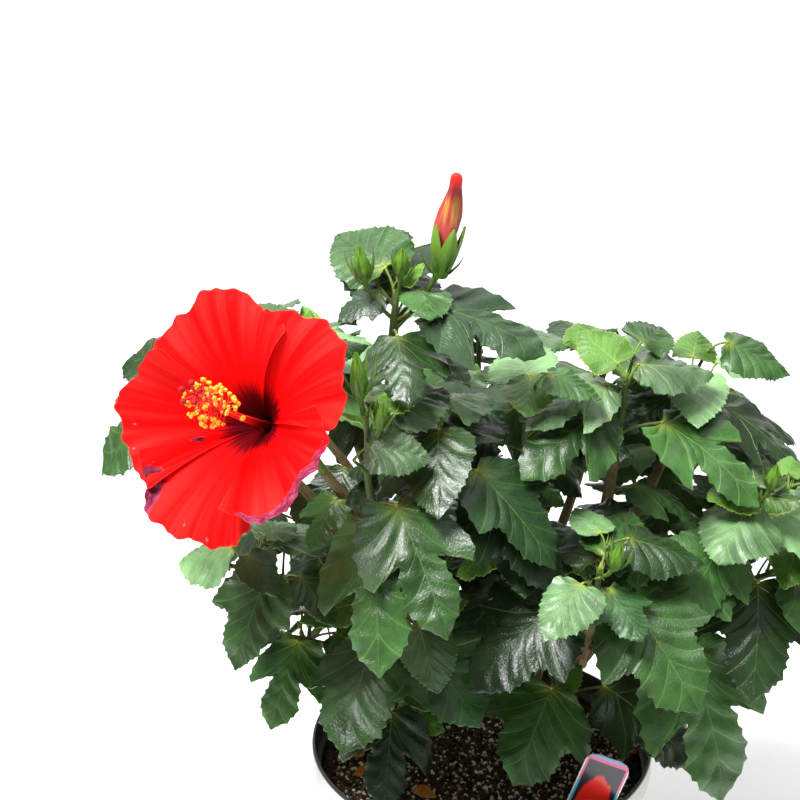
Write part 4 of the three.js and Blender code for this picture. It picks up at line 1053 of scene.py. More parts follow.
# Looks of fibres: dark and light colour, the spots' colour, the roughness, the relief's strength and depth
FIBRES = {
    "Cut wood": ((0.45, 0.32, 0.17), (0.66, 0.5, 0.3), (0.3, 0.19, 0.1), 0.8, 0.4, 0.0004),
    "Dry leaf": ((0.2, 0.055, 0.012), (0.75, 0.3, 0.04), (0.08, 0.025, 0.01), 0.75, 0.6, 0.0005),
    "Leaf stalks": ((0.06, 0.035, 0.02), (0.13, 0.1, 0.035), (0.2, 0.18, 0.06), 0.5, 0.4, 0.0003),
    "Leaf joints": ((0.3, 0.3, 0.03), (0.44, 0.42, 0.05), (0.25, 0.2, 0.04), 0.5, 0.3, 0.0003),
    "Green shoots": ((0.05, 0.036, 0.018), (0.12, 0.09, 0.04), (0.22, 0.18, 0.09), 0.55, 0.5, 0.0004),
    "Bud scales": ((0.09, 0.16, 0.025), (0.2, 0.32, 0.05), (0.3, 0.36, 0.09), 0.55, 0.3, 0.0003),
    "Bud stalks and bracts": ((0.06, 0.1, 0.018), (0.12, 0.22, 0.035), (0.2, 0.28, 0.06), 0.5, 0.4, 0.0003),
    "Green cup": ((0.034, 0.11, 0.006), (0.095, 0.23, 0.015), (0.17, 0.29, 0.035), 0.45, 0.5, 0.0004),
    "Stamen column": ((0.62, 0.01, 0.008), (0.85, 0.035, 0.02), (0.75, 0.05, 0.03), 0.45, 0.3, 0.0003),
    "Stigmas": ((0.2, 0.002, 0.004), (0.45, 0.008, 0.01), (0.3, 0.003, 0.004), 0.8, 0.6, 0.0005),
    "Throat": ((0.03, 0.0, 0.001), (0.09, 0.001, 0.003), (0.05, 0.0, 0.002), 0.8, 0.3, 0.0003),
}


def fibres(name, **more):
    return fibre_look(name, *FIBRES[name], **more)


def moulded_look(name, base, dusty, roughness, dust):
    look, w, shader = new_look(name, Specular_IOR_Level=0.45)
    grain = placed_group(w, "Grain and dust", make_grain_group, Vector=w.place())
    tint = w.mix(w.times(grain["Dust"], dust), colour(base), colour(dusty))
    tint = w.mix(w.times(grain["Scuffs"], dust * 0.6), tint, colour(dusty, 1.2))
    surface(w, shader, tint, w.plus(roughness, w.times(grain["Dust"], 0.25)), grain["Height"], 0.25, 0.0002)
    return look


def recolour(look, mixed):
    """Pass a look's base colour through a mix of it with another."""
    w = Wiring(look.node_tree)
    socket = look.node_tree.nodes["Principled BSDF"].inputs["Base Color"]
    w.feed(socket, mixed(w, socket.links[0].from_socket))


# The grown plant

MADE = {}


def crown():
    """The crown, grown once and shared by the operators."""
    if "crown" not in MADE:
        grown = Crown().grow()
        dice = Dice(20117)
        for leaf in grown.leaves:
            dress_leaf(leaf, dice)
        MADE["crown"] = grown
    return MADE["crown"]


# Bark and shoots

def bark_relief(steps, sides, length, seed, rough, scars):
    """Multipliers of a limb's radius: long ridges, swellings, and the scars that old leaves have left."""
    dice = Dice(seed)
    shares = np.arange(steps + 1) / steps
    angles = round_angles(sides)
    relief = np.ones((steps + 1, sides))
    offset = seed % 97
    for i, share in enumerate(shares):
        for j, angle in enumerate(angles):
            x, y = math.cos(angle), math.sin(angle)
            ridge = noise.noise(Vector((x * 2.3 + offset, y * 2.3, share * length / 22)))
            swell = noise.noise(Vector((x * 0.6, y * 0.6 + offset, share * length / 17)))
            relief[i, j] += rough * (ridge * 0.9 + swell * 0.8)
    for k in range(scars):
        at = 0.06 + 0.9 * (k + 0.6 * dice.roll()) / scars
        facing = math.radians(GOLDEN_ANGLE * k + dice.swing(25))
        apart = (shares[:, None] - at) * length
        turn = np.cos(angles[None, :] - facing)
        around = np.maximum(turn, 0) ** 6
        relief += 0.16 * np.exp(-((apart / 1.5) ** 2)) * around
        relief += 0.07 * np.exp(-(((apart + 1.6) / 1.1) ** 2)) * np.maximum(turn, 0) ** 1.5
    return relief


# How a limb's skin is made: the step along it, the fewest steps, the sides, the roughness, the distance
# between the scars of leaves, and the tone
STEM_SKIN = Facts(step=2.2, least=1, sides=28, rough=0.09, scars=15, tone=0.2)
BOUGH_SKIN = Facts(step=2.4, least=6, sides=16, rough=0.05, scars=11, tone=0.5)
SHOOT_SKIN = Facts(step=2, least=8, sides=9, rough=0.05, scars=9, tone=0.7)


def limb_mesh(piece, path, foot, tip, seed, skin, flare=0, fall=lambda share, length: share, roots=0):
    """A limb with its bark relief, flared at the foot by a share of its radius that falls away along it."""
    length = length_of(path)
    steps = max(int(length / skin.step), skin.least)
    share = np.arange(steps + 1) / steps
    radii = foot + (tip - foot) * share + foot * flare * np.exp(-fall(share, length))
    relief = bark_relief(steps, skin.sides, length, seed, skin.rough, int(length / skin.scars))
    if roots:
        angles = round_angles(skin.sides)
        buttress = np.cos(3 * angles + seed) + 0.6 * np.cos(5 * angles + 2 * seed)
        relief += roots * np.exp(-share / 0.09)[:, None] * buttress[None, :]
    tube(piece, path, radii, skin.sides, relief, 0, skin.tone)


def stem_mesh(piece, limb, seed):
    limb_mesh(piece, limb.path, limb.foot, limb.tip, seed, STEM_SKIN, FLARE.reach,
              lambda share, length: share / FLARE.share, 0.1)
    crotch = unit(limb.path[-1] - limb.path[-2])
    ball(piece, limb.path[-1] - crotch * limb.tip * 0.3, np.array((1.2, 1.2, 1.4)) * limb.tip, 0, 3, 0.2)


def stub_mesh(piece, limb, share, bearing, reach, radius):
    """What is left of a cut side stem: a short stump with a pale flat end."""
    foot = along(limb.path, share)
    ahead = towards(bearing, 24)
    end = foot + ahead * reach
    skin = np.array((1.5, 1.25, 1.08, 1.0, 0.98, 1.0)) * radius
    tube(piece, [foot, foot + ahead * reach * 0.5, end], skin, 14, tone=0.3)
    cut = np.array((0.86, 0.84, 0.8)) * radius
    tube(piece, [end - ahead * 0.4, end, end + ahead * 0.5], cut, 14, None, 1, 0.3)


def bough_mesh(piece, limb, seed):
    limb_mesh(piece, limb.path, limb.foot, limb.tip, seed, BOUGH_SKIN, 0.35,
              lambda share, length: share * length / 4)


def spike(piece, foot, ahead, reach, wide, look=0, curl=0.3):
    """A narrow green point: a stipule, a bract or a bud scale, flat and curled upwards."""
    ahead = unit(ahead)
    side = unit(cross(ahead, UP) + vec(1e-4, 0, 0))
    over = cross(side, ahead)
    rows = []
    for share, width in ((0, 0.55), (0.3, 1.0), (0.65, 0.7), (1, 0.06)):
        centre = foot + ahead * reach * share + over * curl * reach * share**2
        rows.append(np.stack((centre - side * wide * width, centre + over * wide * 0.75 * width,
                              centre + side * wide * width, centre - over * wide * 0.5 * width)))
    share = np.arange(4)[:, None] / 3
    marks = marks_of(np.zeros((4, 4)), 0, share * reach, 0, share, 0)
    ends = np.array(((0, 1, 2, 3), (15, 14, 13, 12)))
    piece.add(np.array(rows), [grid(4, 4, wrap=True)[:, ::-1], ends], marks, look)


# Young growth and buds

def young_leaf(foot, bearing, rise, length, dice):
    """A small leaf that has just opened at a tip. It is still folded and stands up."""
    shape = dict(length=length, roll=dice.swing(25), kind="ovate", fold=0.55 + dice.swing(0.2),
                 bend=0.1 + dice.swing(0.15), width=0.85 + dice.swing(0.12))
    leaf = make_leaf(foot, foot + towards(bearing, rise) * length * 0.25, bearing, -rise * 0.8, shape)
    leaf.number, leaf.age, leaf.rank = int(dice.roll() * 90), 0.0, 0
    dress_leaf(leaf, dice)
    leaf.quilt *= 0.6
    return leaf


YOUNG_ROOM = 1.2


def tip_growth(blades, scales, mass):
    """The tuft of folded leaves, stipules and scales at the end of a shoot."""
    dice = Dice(mass.number * 311 + 71)
    tip = mass.stem[-1]
    spin = dice.roll() * 360
    for k in range(3 + int(dice.roll() * 2.4)):
        length = 20 - 4.2 * k + dice.swing(3)
        rise = 38 + 11 * k + dice.swing(8)
        leaf = young_leaf(tip - UP * (1 + k), spin + GOLDEN_ANGLE * k, rise, length, dice)
        if any(near_blade(grown, leaf.points, YOUNG_ROOM).any() for grown in crown().leaves):
            continue
        blade_mesh(blades, leaf)
        tube(scales, stalk_path(leaf), (0.6, 0.5, 0.45, 0.5), 5, tone=0.9)
    for k in range(7):
        bearing = spin + 50 * k + dice.swing(14)
        foot, ahead = tip - UP * dice.roll() * 5, towards(bearing, 48 + dice.swing(18))
        spike(scales, foot, ahead, 5 + 3 * dice.roll(), 0.5)
    spike(scales, tip, UP + vec(dice.swing(0.2), dice.swing(0.2), 0), 6, 0.9)


def stipules(scales, mass):
    dice = Dice(mass.number * 53 + 11)
    for leaf in crown().leaves:
        if leaf.owner == mass.name and leaf.age < 0.7:
            out = leaf.base - leaf.foot
            bearing = math.degrees(math.atan2(out[1], out[0]))
            for side in (-1, 1):
                ahead = towards(bearing + side * (50 + dice.swing(12)), 46)
                spike(scales, leaf.foot + unit(out) * 0.8, ahead, 4.5 + 2.5 * dice.roll(), 0.38)


def round_body(piece, path, profile, steps, sides, look, fold=0.0, folds=5, twist=0.0, tone=0.0):
    """A closed bud or bloom body round a path, with folds that may twist."""
    share = np.linspace(0, 1, steps + 1)
    angles = round_angles(sides)
    wave = np.cos(folds * (angles[None, :] + twist * share[:, None] * 2 * math.pi))
    full = np.sin(math.pi * np.clip(share, 0, 1))[:, None] ** 0.4
    relief = 1 + fold * (np.abs(wave) ** 0.7 * np.sign(wave)) * full
    tube(piece, path, [profile(s) for s in share], sides, relief, look, tone)


def calyx_lobes(piece, foot, ahead, wide, reach, look, flare=0.0, notch=0.45, spin=0.3, count=5):
    """A green cup round a bud, split into pointed lobes with a thickness of their own."""
    side, over = crossing(ahead)
    rows, across = 12, 9
    for number in range(count):
        middle = number * 2 * math.pi / count + spin
        points = np.zeros((2, rows, across, 3))
        marks = np.zeros((2, rows, across, 6))
        for i, up in enumerate(np.linspace(0, 1, rows)):
            span = math.pi / count * 1.04
            if up > notch:
                span *= max(1 - (up - notch) / (1 - notch), 0.03) ** 0.75
            swell = wide * (0.3 + 0.7 * math.sin(math.pi * (0.08 + 0.5 * up)) + flare * up**2)
            for j, t in enumerate(np.linspace(-1, 1, across)):
                angle = middle + t * span
                ridge = 1 + 0.05 * math.cos(math.pi * t)
                for layer, thick in enumerate((0, 0.45)):
                    radius = swell * ridge - thick
                    points[layer, i, j] = (foot + ahead * up * reach
                                           + (side * math.cos(angle) + over * math.sin(angle)) * radius)
                marks[:, i, j] = (t * 3, number, up * reach, 0, up, abs(t))
        piece.add(points, shell_faces(rows, across), marks, look)


def crossing(ahead):
    ahead = unit(ahead)
    side = unit(cross(ahead, vec(0.31, 0.95, 0.1)))
    return side, cross(ahead, side)


def bracts(piece, foot, ahead, reach, count, wide, look=0, open_out=0.9, curl=0.3):
    """The ring of narrow bracts below a bud or bloom."""
    side, over = crossing(ahead)
    dice = Dice(int(abs(foot[0]) * 13 + abs(foot[2]) * 7) + 3)
    for k in range(count):
        angle = 2 * math.pi * k / count + dice.swing(0.2)
        out = side * math.cos(angle) + over * math.sin(angle)
        spike(piece, foot + out * 1.6, out * open_out + ahead * (0.8 + dice.swing(0.3)),
              reach * (0.85 + 0.3 * dice.roll()), wide, look, curl)


# Shares of a bud's length, and its radius there as a share of its greatest
BUD_PROFILE = (0, 0.12, 0.35, 0.6, 0.85, 1), (0.3, 0.7, 0.88, 0.7, 0.26, 0.05)
FURLED_PROFILE = ((0, 0.12, 0.4, 0.6, 0.78, 0.88, 0.95, 0.985, 1),
                  (0.42, 0.7, 0.88, 0.83, 0.6, 0.45, 0.45, 0.39, 0.2))


def bud_stalk(piece, mass, share, foot, tip, lap, radii, sides):
    """The stalk from a shoot to just inside a bud. It returns the bud's ends, direction and length."""
    foot, tip = vec(*foot), vec(*tip)
    ahead, reach = unit(tip - foot), math.dist(foot, tip)
    start = along(mass.stem, share)
    tube(piece, [start, (start + foot) / 2 - UP * 2, foot + ahead * reach * lap], radii, sides, tone=0.8)
    return foot, tip, ahead, reach


def bud_mesh(piece, mass, share, foot, tip, wide):
    radii = (1.5, 1.2, 1.15, 1.2, 1.35, 1.9)
    foot, tip, ahead, reach = bud_stalk(piece, mass, share, foot, tip, 0.1, radii, 9)
    round_body(piece, [foot, (foot + tip) / 2, tip], lambda s: wide * float(np.interp(s, *BUD_PROFILE)),
               16, 20, 1, 0.07, 5, 0.02, 0.4)
    calyx_lobes(piece, foot + ahead * 0.3, ahead, wide, reach, 1, flare=-0.85, notch=0.3)
    bracts(piece, foot + ahead * 0.6, ahead, reach * 0.8, 7, 1.35, 0, 0.95, 0.5)


def furled_mesh(piece, mass, share, foot, tip, wide):
    """The furled bloom: petals rolled round each other, still held in the green cup."""
    radii = (1.7, 1.4, 1.3, 1.35, 1.6, 2.4)
    foot, tip, ahead, reach = bud_stalk(piece, mass, share, foot, tip, 0.06, radii, 10)
    path = [foot, (foot + tip) / 2 + vec(1.9, 0, 0), tip + vec(3.8, 0, 0)]
    round_body(piece, path, lambda s: wide * float(np.interp(s, *FURLED_PROFILE)), 72, 60, 2, 0.26, 3, 0.42)
    calyx_lobes(piece, foot - ahead * 0.5, ahead + vec(0.075, 0, 0), wide * 1.18, reach * 0.52, 1,
                flare=0.1, notch=0.58, spin=0.93)
    bracts(piece, foot - ahead * 0.2, ahead, 16.5, 8, 1.3, 0, 1.2, 0.45)


# The open bloom

RIGHT = unit(cross(UP, AXIS))
BLOOM_UP = cross(AXIS, RIGHT)
# Petals: the bearing round the throat, the reach, the half spread in degrees, how far the rim rolls back,
# how much longer one half is than the other, and how far one side curls and the middle folds forward
PETALS = (
    (46, 1.03, 44, 6, 0, 3, 0), (117, 1.05, 47, 8, 0.1, 3, 0), (189, 1.0, 42, 0, 0.06, 15, 0),
    (251, 1.05, 41, 4, 0.05, 6, 0), (330, 0.94, 46, -3, -0.02, 5, 10),
)
# The greatest shift of a ripple, and the turn from one stigma to the next, in radians
SHIFT = 6.28
STIGMA_TURN = 1.2566
# Bruises on a petal: the petal, the place across and up it, and the half size each way
BRUISES = ((4, 0.05, 1.0, 0.62, 0.13), (4, -0.6, 0.98, 0.3, 0.04), (3, -0.55, 0.95, 0.26, 0.16),
           (3, -0.97, 0.5, 0.09, 0.07))


def from_throat(turn, radius, ahead):
    a = np.radians(turn)
    radius, ahead, a = np.broadcast_arrays(np.asarray(radius, float), np.asarray(ahead, float), a)
    out = RIGHT * np.cos(a)[..., None] + BLOOM_UP * np.sin(a)[..., None]
    return BLOOM.throat + out * radius[..., None] + AXIS * ahead[..., None]


def petal_mesh(piece, number, rows=58, columns=65):
    turn, reach, spread, back, skew, side_curl, fold = PETALS[number]
    dice = Dice(number * 977 + 31)
    up = np.linspace(0, 1, rows)[:, None] ** 0.9
    across = np.linspace(-1, 1, columns)[None, :]
    shifts = [dice.roll() * SHIFT for _ in range(6)]
    scallop = 0.026 * np.sin(6 * across + shifts[0])
    scallop = scallop + 0.016 * np.sin(15 * across + 3 * across**2 + shifts[1])
    scallop = scallop + 0.008 * np.sin(37 * across + shifts[2])
    length = reach * (1 - BLOOM.round * across**2) * (1 + scallop * up**3) * (1 + skew * across * up)
    radius = BLOOM.neck + (BLOOM.mouth * length - BLOOM.neck) * up**BLOOM.flat
    ahead = BLOOM.depth * (1 - (1 - up) ** BLOOM.swell) - back * up**4 - 1.5 * BLOOM.lap * across * up
    ruffle = up**2.5 * (3.2 * np.sin(5.2 * across + shifts[3]) + 1.7 * np.sin(10.5 * across + shifts[4]))
    ruffle = ruffle * (0.45 + 0.75 * np.abs(across)) + up**9 * 1.2 * np.sin(23 * across + shifts[5])
    curl = np.exp(-(((across + 0.9) / 0.28) ** 2)) * up**3 * side_curl
    curl = curl + fold * up**5 * np.exp(-(((across - 0.1) / 0.8) ** 2))
    crease = np.sin(across * 21 + 3 * np.sin(2 * across + shifts[0])) * up * (1 - 0.6 * up**6)
    crease = crease * 0.45 + 1.6 * np.cos(across * 4.5) * up * (1 - up)
    ahead = ahead + ruffle + curl + crease
    bearing = turn + across * (spread - 0.55 * BLOOM.narrowing * (1 - up))
    bruise = np.zeros_like(bearing)
    for petal, x, y, wide, high in BRUISES:
        if petal == number:
            apart = np.hypot((across - x) / wide, (up - y) / high)
            bruise = np.maximum(bruise, np.clip(1.35 - apart, 0, 1))
    ahead = ahead + bruise * (0.8 * np.sin(across * 37 + up * 53) + 0.6 * np.sin(across * 61 - up * 31))
    points = np.stack([from_throat(bearing, radius, ahead + side * BLOOM.half) for side in (1, -1)])
    marks = marks_of(across, up, bruise, np.radians(bearing) * 3, number, radius * 0.02)
    piece.add(points, turned_over(shell_faces(rows, columns)), np.stack((marks, marks)))


def on_axis(ahead):
    return from_throat(0, 0, ahead).reshape(3)


def column_path(start, end, count):
    """The middle line of the column of stamens, which bends up a little."""
    return [on_axis(k) + UP * COLUMN.bend * k**2 for k in np.linspace(start, end, count)]


def column_mesh(piece):
    """The column of stamens from the throat, and the five stigmas beyond it."""
    path = column_path(-4, COLUMN.length - 6, 6)
    tube(piece, path, (2.6, 2.3, 2.1, 1.9, 1.8, 1.6, 1.5, 1.4, 1.1), 16, None, 1, 0.1)
    tip = path[-1]
    for k in range(5):
        angle = k * STIGMA_TURN + 0.4
        out = RIGHT * math.cos(angle) + BLOOM_UP * math.sin(angle)
        end = tip + AXIS * 7.2 + out * 5.2
        tube(piece, [tip, tip + AXIS * 4.2 + out * 1.5, end], (0.55, 0.5, 0.5, 0.55), 6, None, 1, 0.1)
        ball(piece, end, (1.75, 1.75, 1.6), 2, 2)


def throat_mesh(piece):
    """The bottom of the funnel, where the petals join: a small hollow cone with a thickness."""
    section = ((0, -7), (3, -6), (6.2, -1), (8.4, 5), (8, 5.2), (5.7, -0.7), (2.6, -5.4), (0, -5.8))
    turned(piece, section, 40, lambda ring: 3,
           place=lambda p: BLOOM.throat + p[:, :1] * RIGHT + p[:, 1:2] * BLOOM_UP + p[:, 2:] * AXIS)


def stamen_seats():
    """The skin of the column's outer half, which carries the stamens."""
    seats = Piece()
    tube(seats, column_path(46, COLUMN.length - 5, 4), np.full(9, 1.7), 12)
    return plain_mesh(seats, "stamen_seats")


def cup_mesh(piece):
    """The green cup of the open bloom with its bracts, on a stalk from its bough."""
    foot = on_axis(4 - CUP.length)
    calyx_lobes(piece, foot, AXIS, CUP.wide, CUP.length, 4, notch=0.5, flare=0.25)
    round_body(piece, [foot, foot + AXIS * 6, foot + AXIS * 12], lambda s: 3.4 + 3.4 * s, 8, 20, 4)
    bracts(piece, foot + AXIS * 0.5, AXIS, 15, 8, 1.1, 3, 1.3, 0.0)
    lead = line_on(crown().boughs["bough_bloom"].path, foot - AXIS * 13, BLOOM_STALK_STRAIGHT)[:2]
    tube(piece, lead + [foot - AXIS * 13, foot + AXIS * 1.5],
         (2.6, 2.5, 2.45, 2.4, 2.3, 2.2, 2.2, 2.3, 2.6, 3.0), 14, None, 3, 0.7)


# Repeated grains

# Half a turn as the grains are dealt it, in radians
HALF_TURN = 3.14


def scatter_tree(name):
    """Geometry Nodes: grains strewn over a surface, at sizes and turns dealt out by a seed."""
    tree, w, given, result = socket_group(
        name,
        [("Surface", "Geometry", None), ("Grain", "Object", None), ("Finish", "Material", None),
         ("Density", "Float", 1.0), ("Seed", "Int", 0), ("Smallest", "Float", 0.5), ("Largest", "Float", 1.0),
         ("Turn", "Float", HALF_TURN)],
        [("Grains", "Geometry")], "GeometryNodeTree")
    spread = w.node("GeometryNodeDistributePointsOnFaces", {"distribute_method": "RANDOM"},
                    Mesh=given["Surface"], Density=given["Density"], Seed=given["Seed"])
    grain = w.node("GeometryNodeObjectInfo", None, Object=given["Grain"])
    size = w.node("FunctionNodeRandomValue", {"data_type": "FLOAT"}, Seed=given["Seed"],
                  i2=given["Smallest"], i3=given["Largest"])
    spin = w.node("FunctionNodeRandomValue", {"data_type": "FLOAT_VECTOR"}, Seed=w.plus(given["Seed"], 7.0))
    for end, sign in enumerate((-1.0, 1.0)):
        tilt = w.times(given["Turn"], sign)
        reach = w.node("ShaderNodeCombineXYZ", None, i0=tilt, i1=tilt, i2=sign * HALF_TURN)
        w.feed(spin.inputs[end], reach.outputs[0])
    euler = w.node("FunctionNodeEulerToRotation", None, i0=spin.outputs[0])
    tilted = w.node("FunctionNodeRotateRotation", {"rotation_space": "LOCAL"},
                    i0=spread.outputs["Rotation"], i1=euler.outputs[0])
    placed = w.node("GeometryNodeInstanceOnPoints", None, Points=spread.outputs["Points"],
                    Instance=grain.outputs["Geometry"], Rotation=tilted.outputs[0], Scale=size.outputs[1])
    real = w.node("GeometryNodeRealizeInstances", None, Geometry=placed.outputs[0])
    last = w.node("GeometryNodeSetMaterial", None, Geometry=real.outputs[0], Material=given["Finish"])
    w.feed(result[0], last.outputs[0])
    sockets = [item for item in tree.interface.items_tree if item.in_out == "INPUT"]
    return tree, {item.name: item.identifier for item in sockets}


def scatter(name, surface, grain, finish, slot, nodes, **values):
    """Grains on a surface, as one plain mesh that rides on the plant."""
    if "scatter" not in MADE:
        MADE["scatter"] = scatter_tree("Scatter grains")
    tree, inputs = MADE["scatter"]
    holder, seed = put(name + "_bed", surface), put(name + "_grain", grain)
    modifier = holder.modifiers.new("Scatter", "NODES")
    modifier.node_group = tree
    modifier[inputs["Grain"]] = seed
    modifier[inputs["Finish"]] = finish
    for label, value in values.items():
        modifier[inputs[label]] = value
    mesh = baked(holder, modifier)
    for made in (holder, seed):
        bpy.data.objects.remove(made)
    mesh.name = name
    mesh.materials.clear()
    mesh.materials.append(finish)
    return settle(name, mesh, nodes)


def shape_mesh(shape, name):
    mesh = bpy.data.meshes.new(name)
    shape.to_mesh(mesh)
    shape.free()
    return mesh


def lump(seed, size, rough, flat):
    """A small irregular lump, in metres, for strewing."""
    shape = bmesh.new()
    bmesh.ops.create_icosphere(shape, subdivisions=1, radius=size * MM)
    for v in shape.verts:
        v.co *= 1 + rough * noise.noise(v.co / (size * MM) * 1.4 + Vector((seed, 0, 0)))
        v.co.z *= flat
    return shape_mesh(shape, "lump")


def chip(seed, length, wide, thick):
    """A splinter of bark or wood, in metres, for strewing."""
    dice = Dice(seed)
    shape = bmesh.new()
    bmesh.ops.create_cube(shape, size=1)
    for v in shape.verts:
        narrow = 0.45 + 0.5 * dice.roll()
        longer = 0.8 + 0.4 * dice.roll()
        v.co = Vector((v.co.x * length * longer, v.co.y * wide * narrow, v.co.z * thick)) * MM
    return shape_mesh(shape, "chip")


# Pot, soil and label

# The turned section of the pot, radius and height, from the middle of its base up the wall and down inside
POT_SECTION = (
    (0, 0), (66, 0), (74.6, 0), (75.7, 0.35), (76.4, 1.4), (79.1, 18), (87.5, 74), (95.6, 127),
    (99.1, 151.4), (99.45, 153.1), (100.3, 153.6), (101.7, 153.9), (102.3, 154.5), (102.5, 155.6),
    (102.5, 161), (102.5, 168.3), (102.3, 169.3), (101.8, 169.85), (101.3, 170), (100.8, 169.8),
    (100.4, 169.1), (100.3, 168), (100.3, 157), (99.8, 155.4), (98.4, 154.2), (97.3, 153.2), (92.6, 122),
    (84.7, 72), (76.6, 21), (74, 4.2), (73, 3), (60, 3), (0, 3),
)
# The ring of the section where the darker rim begins
RIM_RING = 15
DRAIN = Facts(count=6, radius=6, height=10, reach=(66, 75, 84))


def turned(piece, section, sides, looks_at, relief=None, place=lambda points: points):
    """A section of radius and height turned round the pot's axis, then placed. Its ends lie on the axis."""
    angles = round_angles(sides)
    rings = np.array(section[1:-1], float)
    radius, height = rings[:, :1] * np.ones(sides), rings[:, 1:] * np.ones(sides)
    if relief is not None:
        radius, height = relief(radius, height, angles)
    points = np.stack((radius * np.cos(angles), radius * np.sin(angles), height), axis=-1).reshape(-1, 3)
    count = len(rings)
    wall = grid(count, sides, wrap=True)[:, ::-1]
    faces = [wall[i * sides:(i + 1) * sides] for i in range(count - 1)]
    looks = [looks_at(i + 1) for i in range(count - 1)] + [looks_at(0), looks_at(count)]
    ring, last = np.arange(sides), (count - 1) * sides
    low = np.full(sides, count * sides)
    faces.append(np.stack((low, np.roll(ring, -1), ring), axis=1))
    faces.append(np.stack((low + 1, last + ring, last + np.roll(ring, -1)), axis=1))
    points = np.vstack((points, ((0, 0, section[0][1]), (0, 0, section[-1][1]))))
    piece.add(place(points), faces, np.hstack((points, points * 0)), looks)


def make_pot(settings):
    wall = moulded_look("Pot wall", settings.wall_colour, (0.62, 0.62, 0.6), 0.42, 0.25)
    rim = moulded_look("Pot rim and lining", settings.rim_colour, (0.1, 0.105, 0.085), 0.34, 0.5)
    raw = Piece()
    turned(raw, POT_SECTION, 160, lambda ring: 0 if ring < RIM_RING else 1)
    pot = raw.finish("pot_shell", [wall, rim], "pot", ["pot"], 35)
    cutter = Piece()
    for k in range(DRAIN.count):
        angle = math.radians((k + 0.5) * 360 / DRAIN.count)
        path = [vec(math.cos(angle) * out, math.sin(angle) * out, DRAIN.height) for out in DRAIN.reach]
        tube(cutter, path, np.full(3, DRAIN.radius), 24)
    tool = cutter.finish("drain_tool", [rim], "pot", [])
    cut = pot.modifiers.new("Drain holes", "BOOLEAN")
    cut.operation, cut.solver, cut.object = "DIFFERENCE", "EXACT", tool
    pot.data = baked(pot, cut)
    bpy.data.objects.remove(tool)


def soil_height(x, y):
    """The lumpy top of the soil, in millimetres over its level."""
    broad = noise.noise(Vector((x / 34, y / 34, 3.7)))
    clods = noise.noise(Vector((x / 9, y / 9, 8.1)))
    crumbs = noise.noise(Vector((x / 3.2, y / 3.2, 1.3)))
    return 1.1 * broad + 1.3 * abs(clods) + 0.7 * crumbs - 1.2


# The soil: the height of its underside and of its lower edge, heights up its wall, the first radius, the
# width and the number of the rings of its top, how far grains are strewn, and how it widens inside the pot
SOIL = Facts(
    under=3.3, edge=5, wall=(40, 90, 130, 150.2), middle=0.7, wide=95.6, rings=58, strewn=94,
    widening=23.5, rise=151, gap=0.6)


def soil_radius(z):
    return POT.base - POT.wall + (SOIL.widening * (z - POT.floor)) / SOIL.rise - SOIL.gap


def soil_look(settings):
    """Dark clods with tan specks among them."""
    look, w, shader = new_look("Potting soil", Roughness=0.95, Specular_IOR_Level=0.15)
    place = w.place()
    clods = w.noise(place, 170.0, 5.0, 0.7)
    fine = w.cells(place, 620.0)
    speck = w.fall(fine["Distance"], 0.12, 0.2)
    chosen = w.ramp(w.parts(fine["Color"])[0], 0.8, 0.86)
    earth = settings.soil_colour
    base = w.mix(w.ramp(clods, 0.35, 0.7), colour(earth, 0.5), colour(earth, 1.6))
    base = w.mix(w.times(speck, chosen), base, (0.42, 0.36, 0.27, 1))
    surface(w, shader, base, None, w.plus(clods, w.times(fine["Distance"], 0.6)), 0.9, 0.0015)
    return look


def lumpy(radius, height, angles):
    """The soil's section with its level top raised and sunk to lumps."""
    for i in range(len(radius)):
        if height[i, 0] == SOIL_LEVEL:
            for j, angle in enumerate(angles):
                out = radius[i, j]
                height[i, j] += soil_height(out * math.cos(angle), out * math.sin(angle))
    return radius, height


def make_soil(settings):
    look = soil_look(settings)
    rings = [SOIL.middle + SOIL.wide * (k / SOIL.rings) for k in range(SOIL.rings + 1)]
    section = [(0, SOIL.under), (soil_radius(SOIL.under) - 1, SOIL.under)]
    section += [(soil_radius(z), z) for z in (SOIL.edge, *SOIL.wall)]
    section += [(r, SOIL_LEVEL) for r in reversed(rings)] + [(0, SOIL_LEVEL - 1)]
    soil = Piece()
    turned(soil, section, 144, lambda ring: 0, lumpy)
    soil.finish("soil_bed", [look], "soil", ["soil"], 180)
    strew_soil(settings)


def soil_top(reach):
    """The top of the soil alone, in metres, to strew grains on."""
    side = 40
    line = np.linspace(-reach, reach, side)
    points = [(x * MM, y * MM, (SOIL_LEVEL + soil_height(x, y)) * MM) for y in line for x in line]
    inside = [math.hypot(p[0], p[1]) < reach * MM for p in points]
    faces = []
    for i in range(side - 1):
        for j in range(side - 1):
            corner = i * side + j
            face = (corner, corner + 1, corner + side + 1, corner + side)
            if all(inside[c] for c in face):
                faces.append(face)
    mesh = bpy.data.meshes.new("soil_top")
    mesh.from_pydata(points, [], faces)
    return mesh


def grain_look(name, dark, light, roughness):
    look, w, shader = new_look(name, Specular_IOR_Level=0.2)
    place = w.place()
    tint = w.noise(place, 240.0, 3.0, 0.6)
    base = w.mix(w.ramp(tint, 0.35, 0.65), colour(dark), colour(light))
    rough = w.plus(roughness, w.times(tint, 0.1))
    surface(w, shader, base, rough, w.noise(place, 1500.0, 2.0, 0.6), 0.5, 0.0003)
    return look


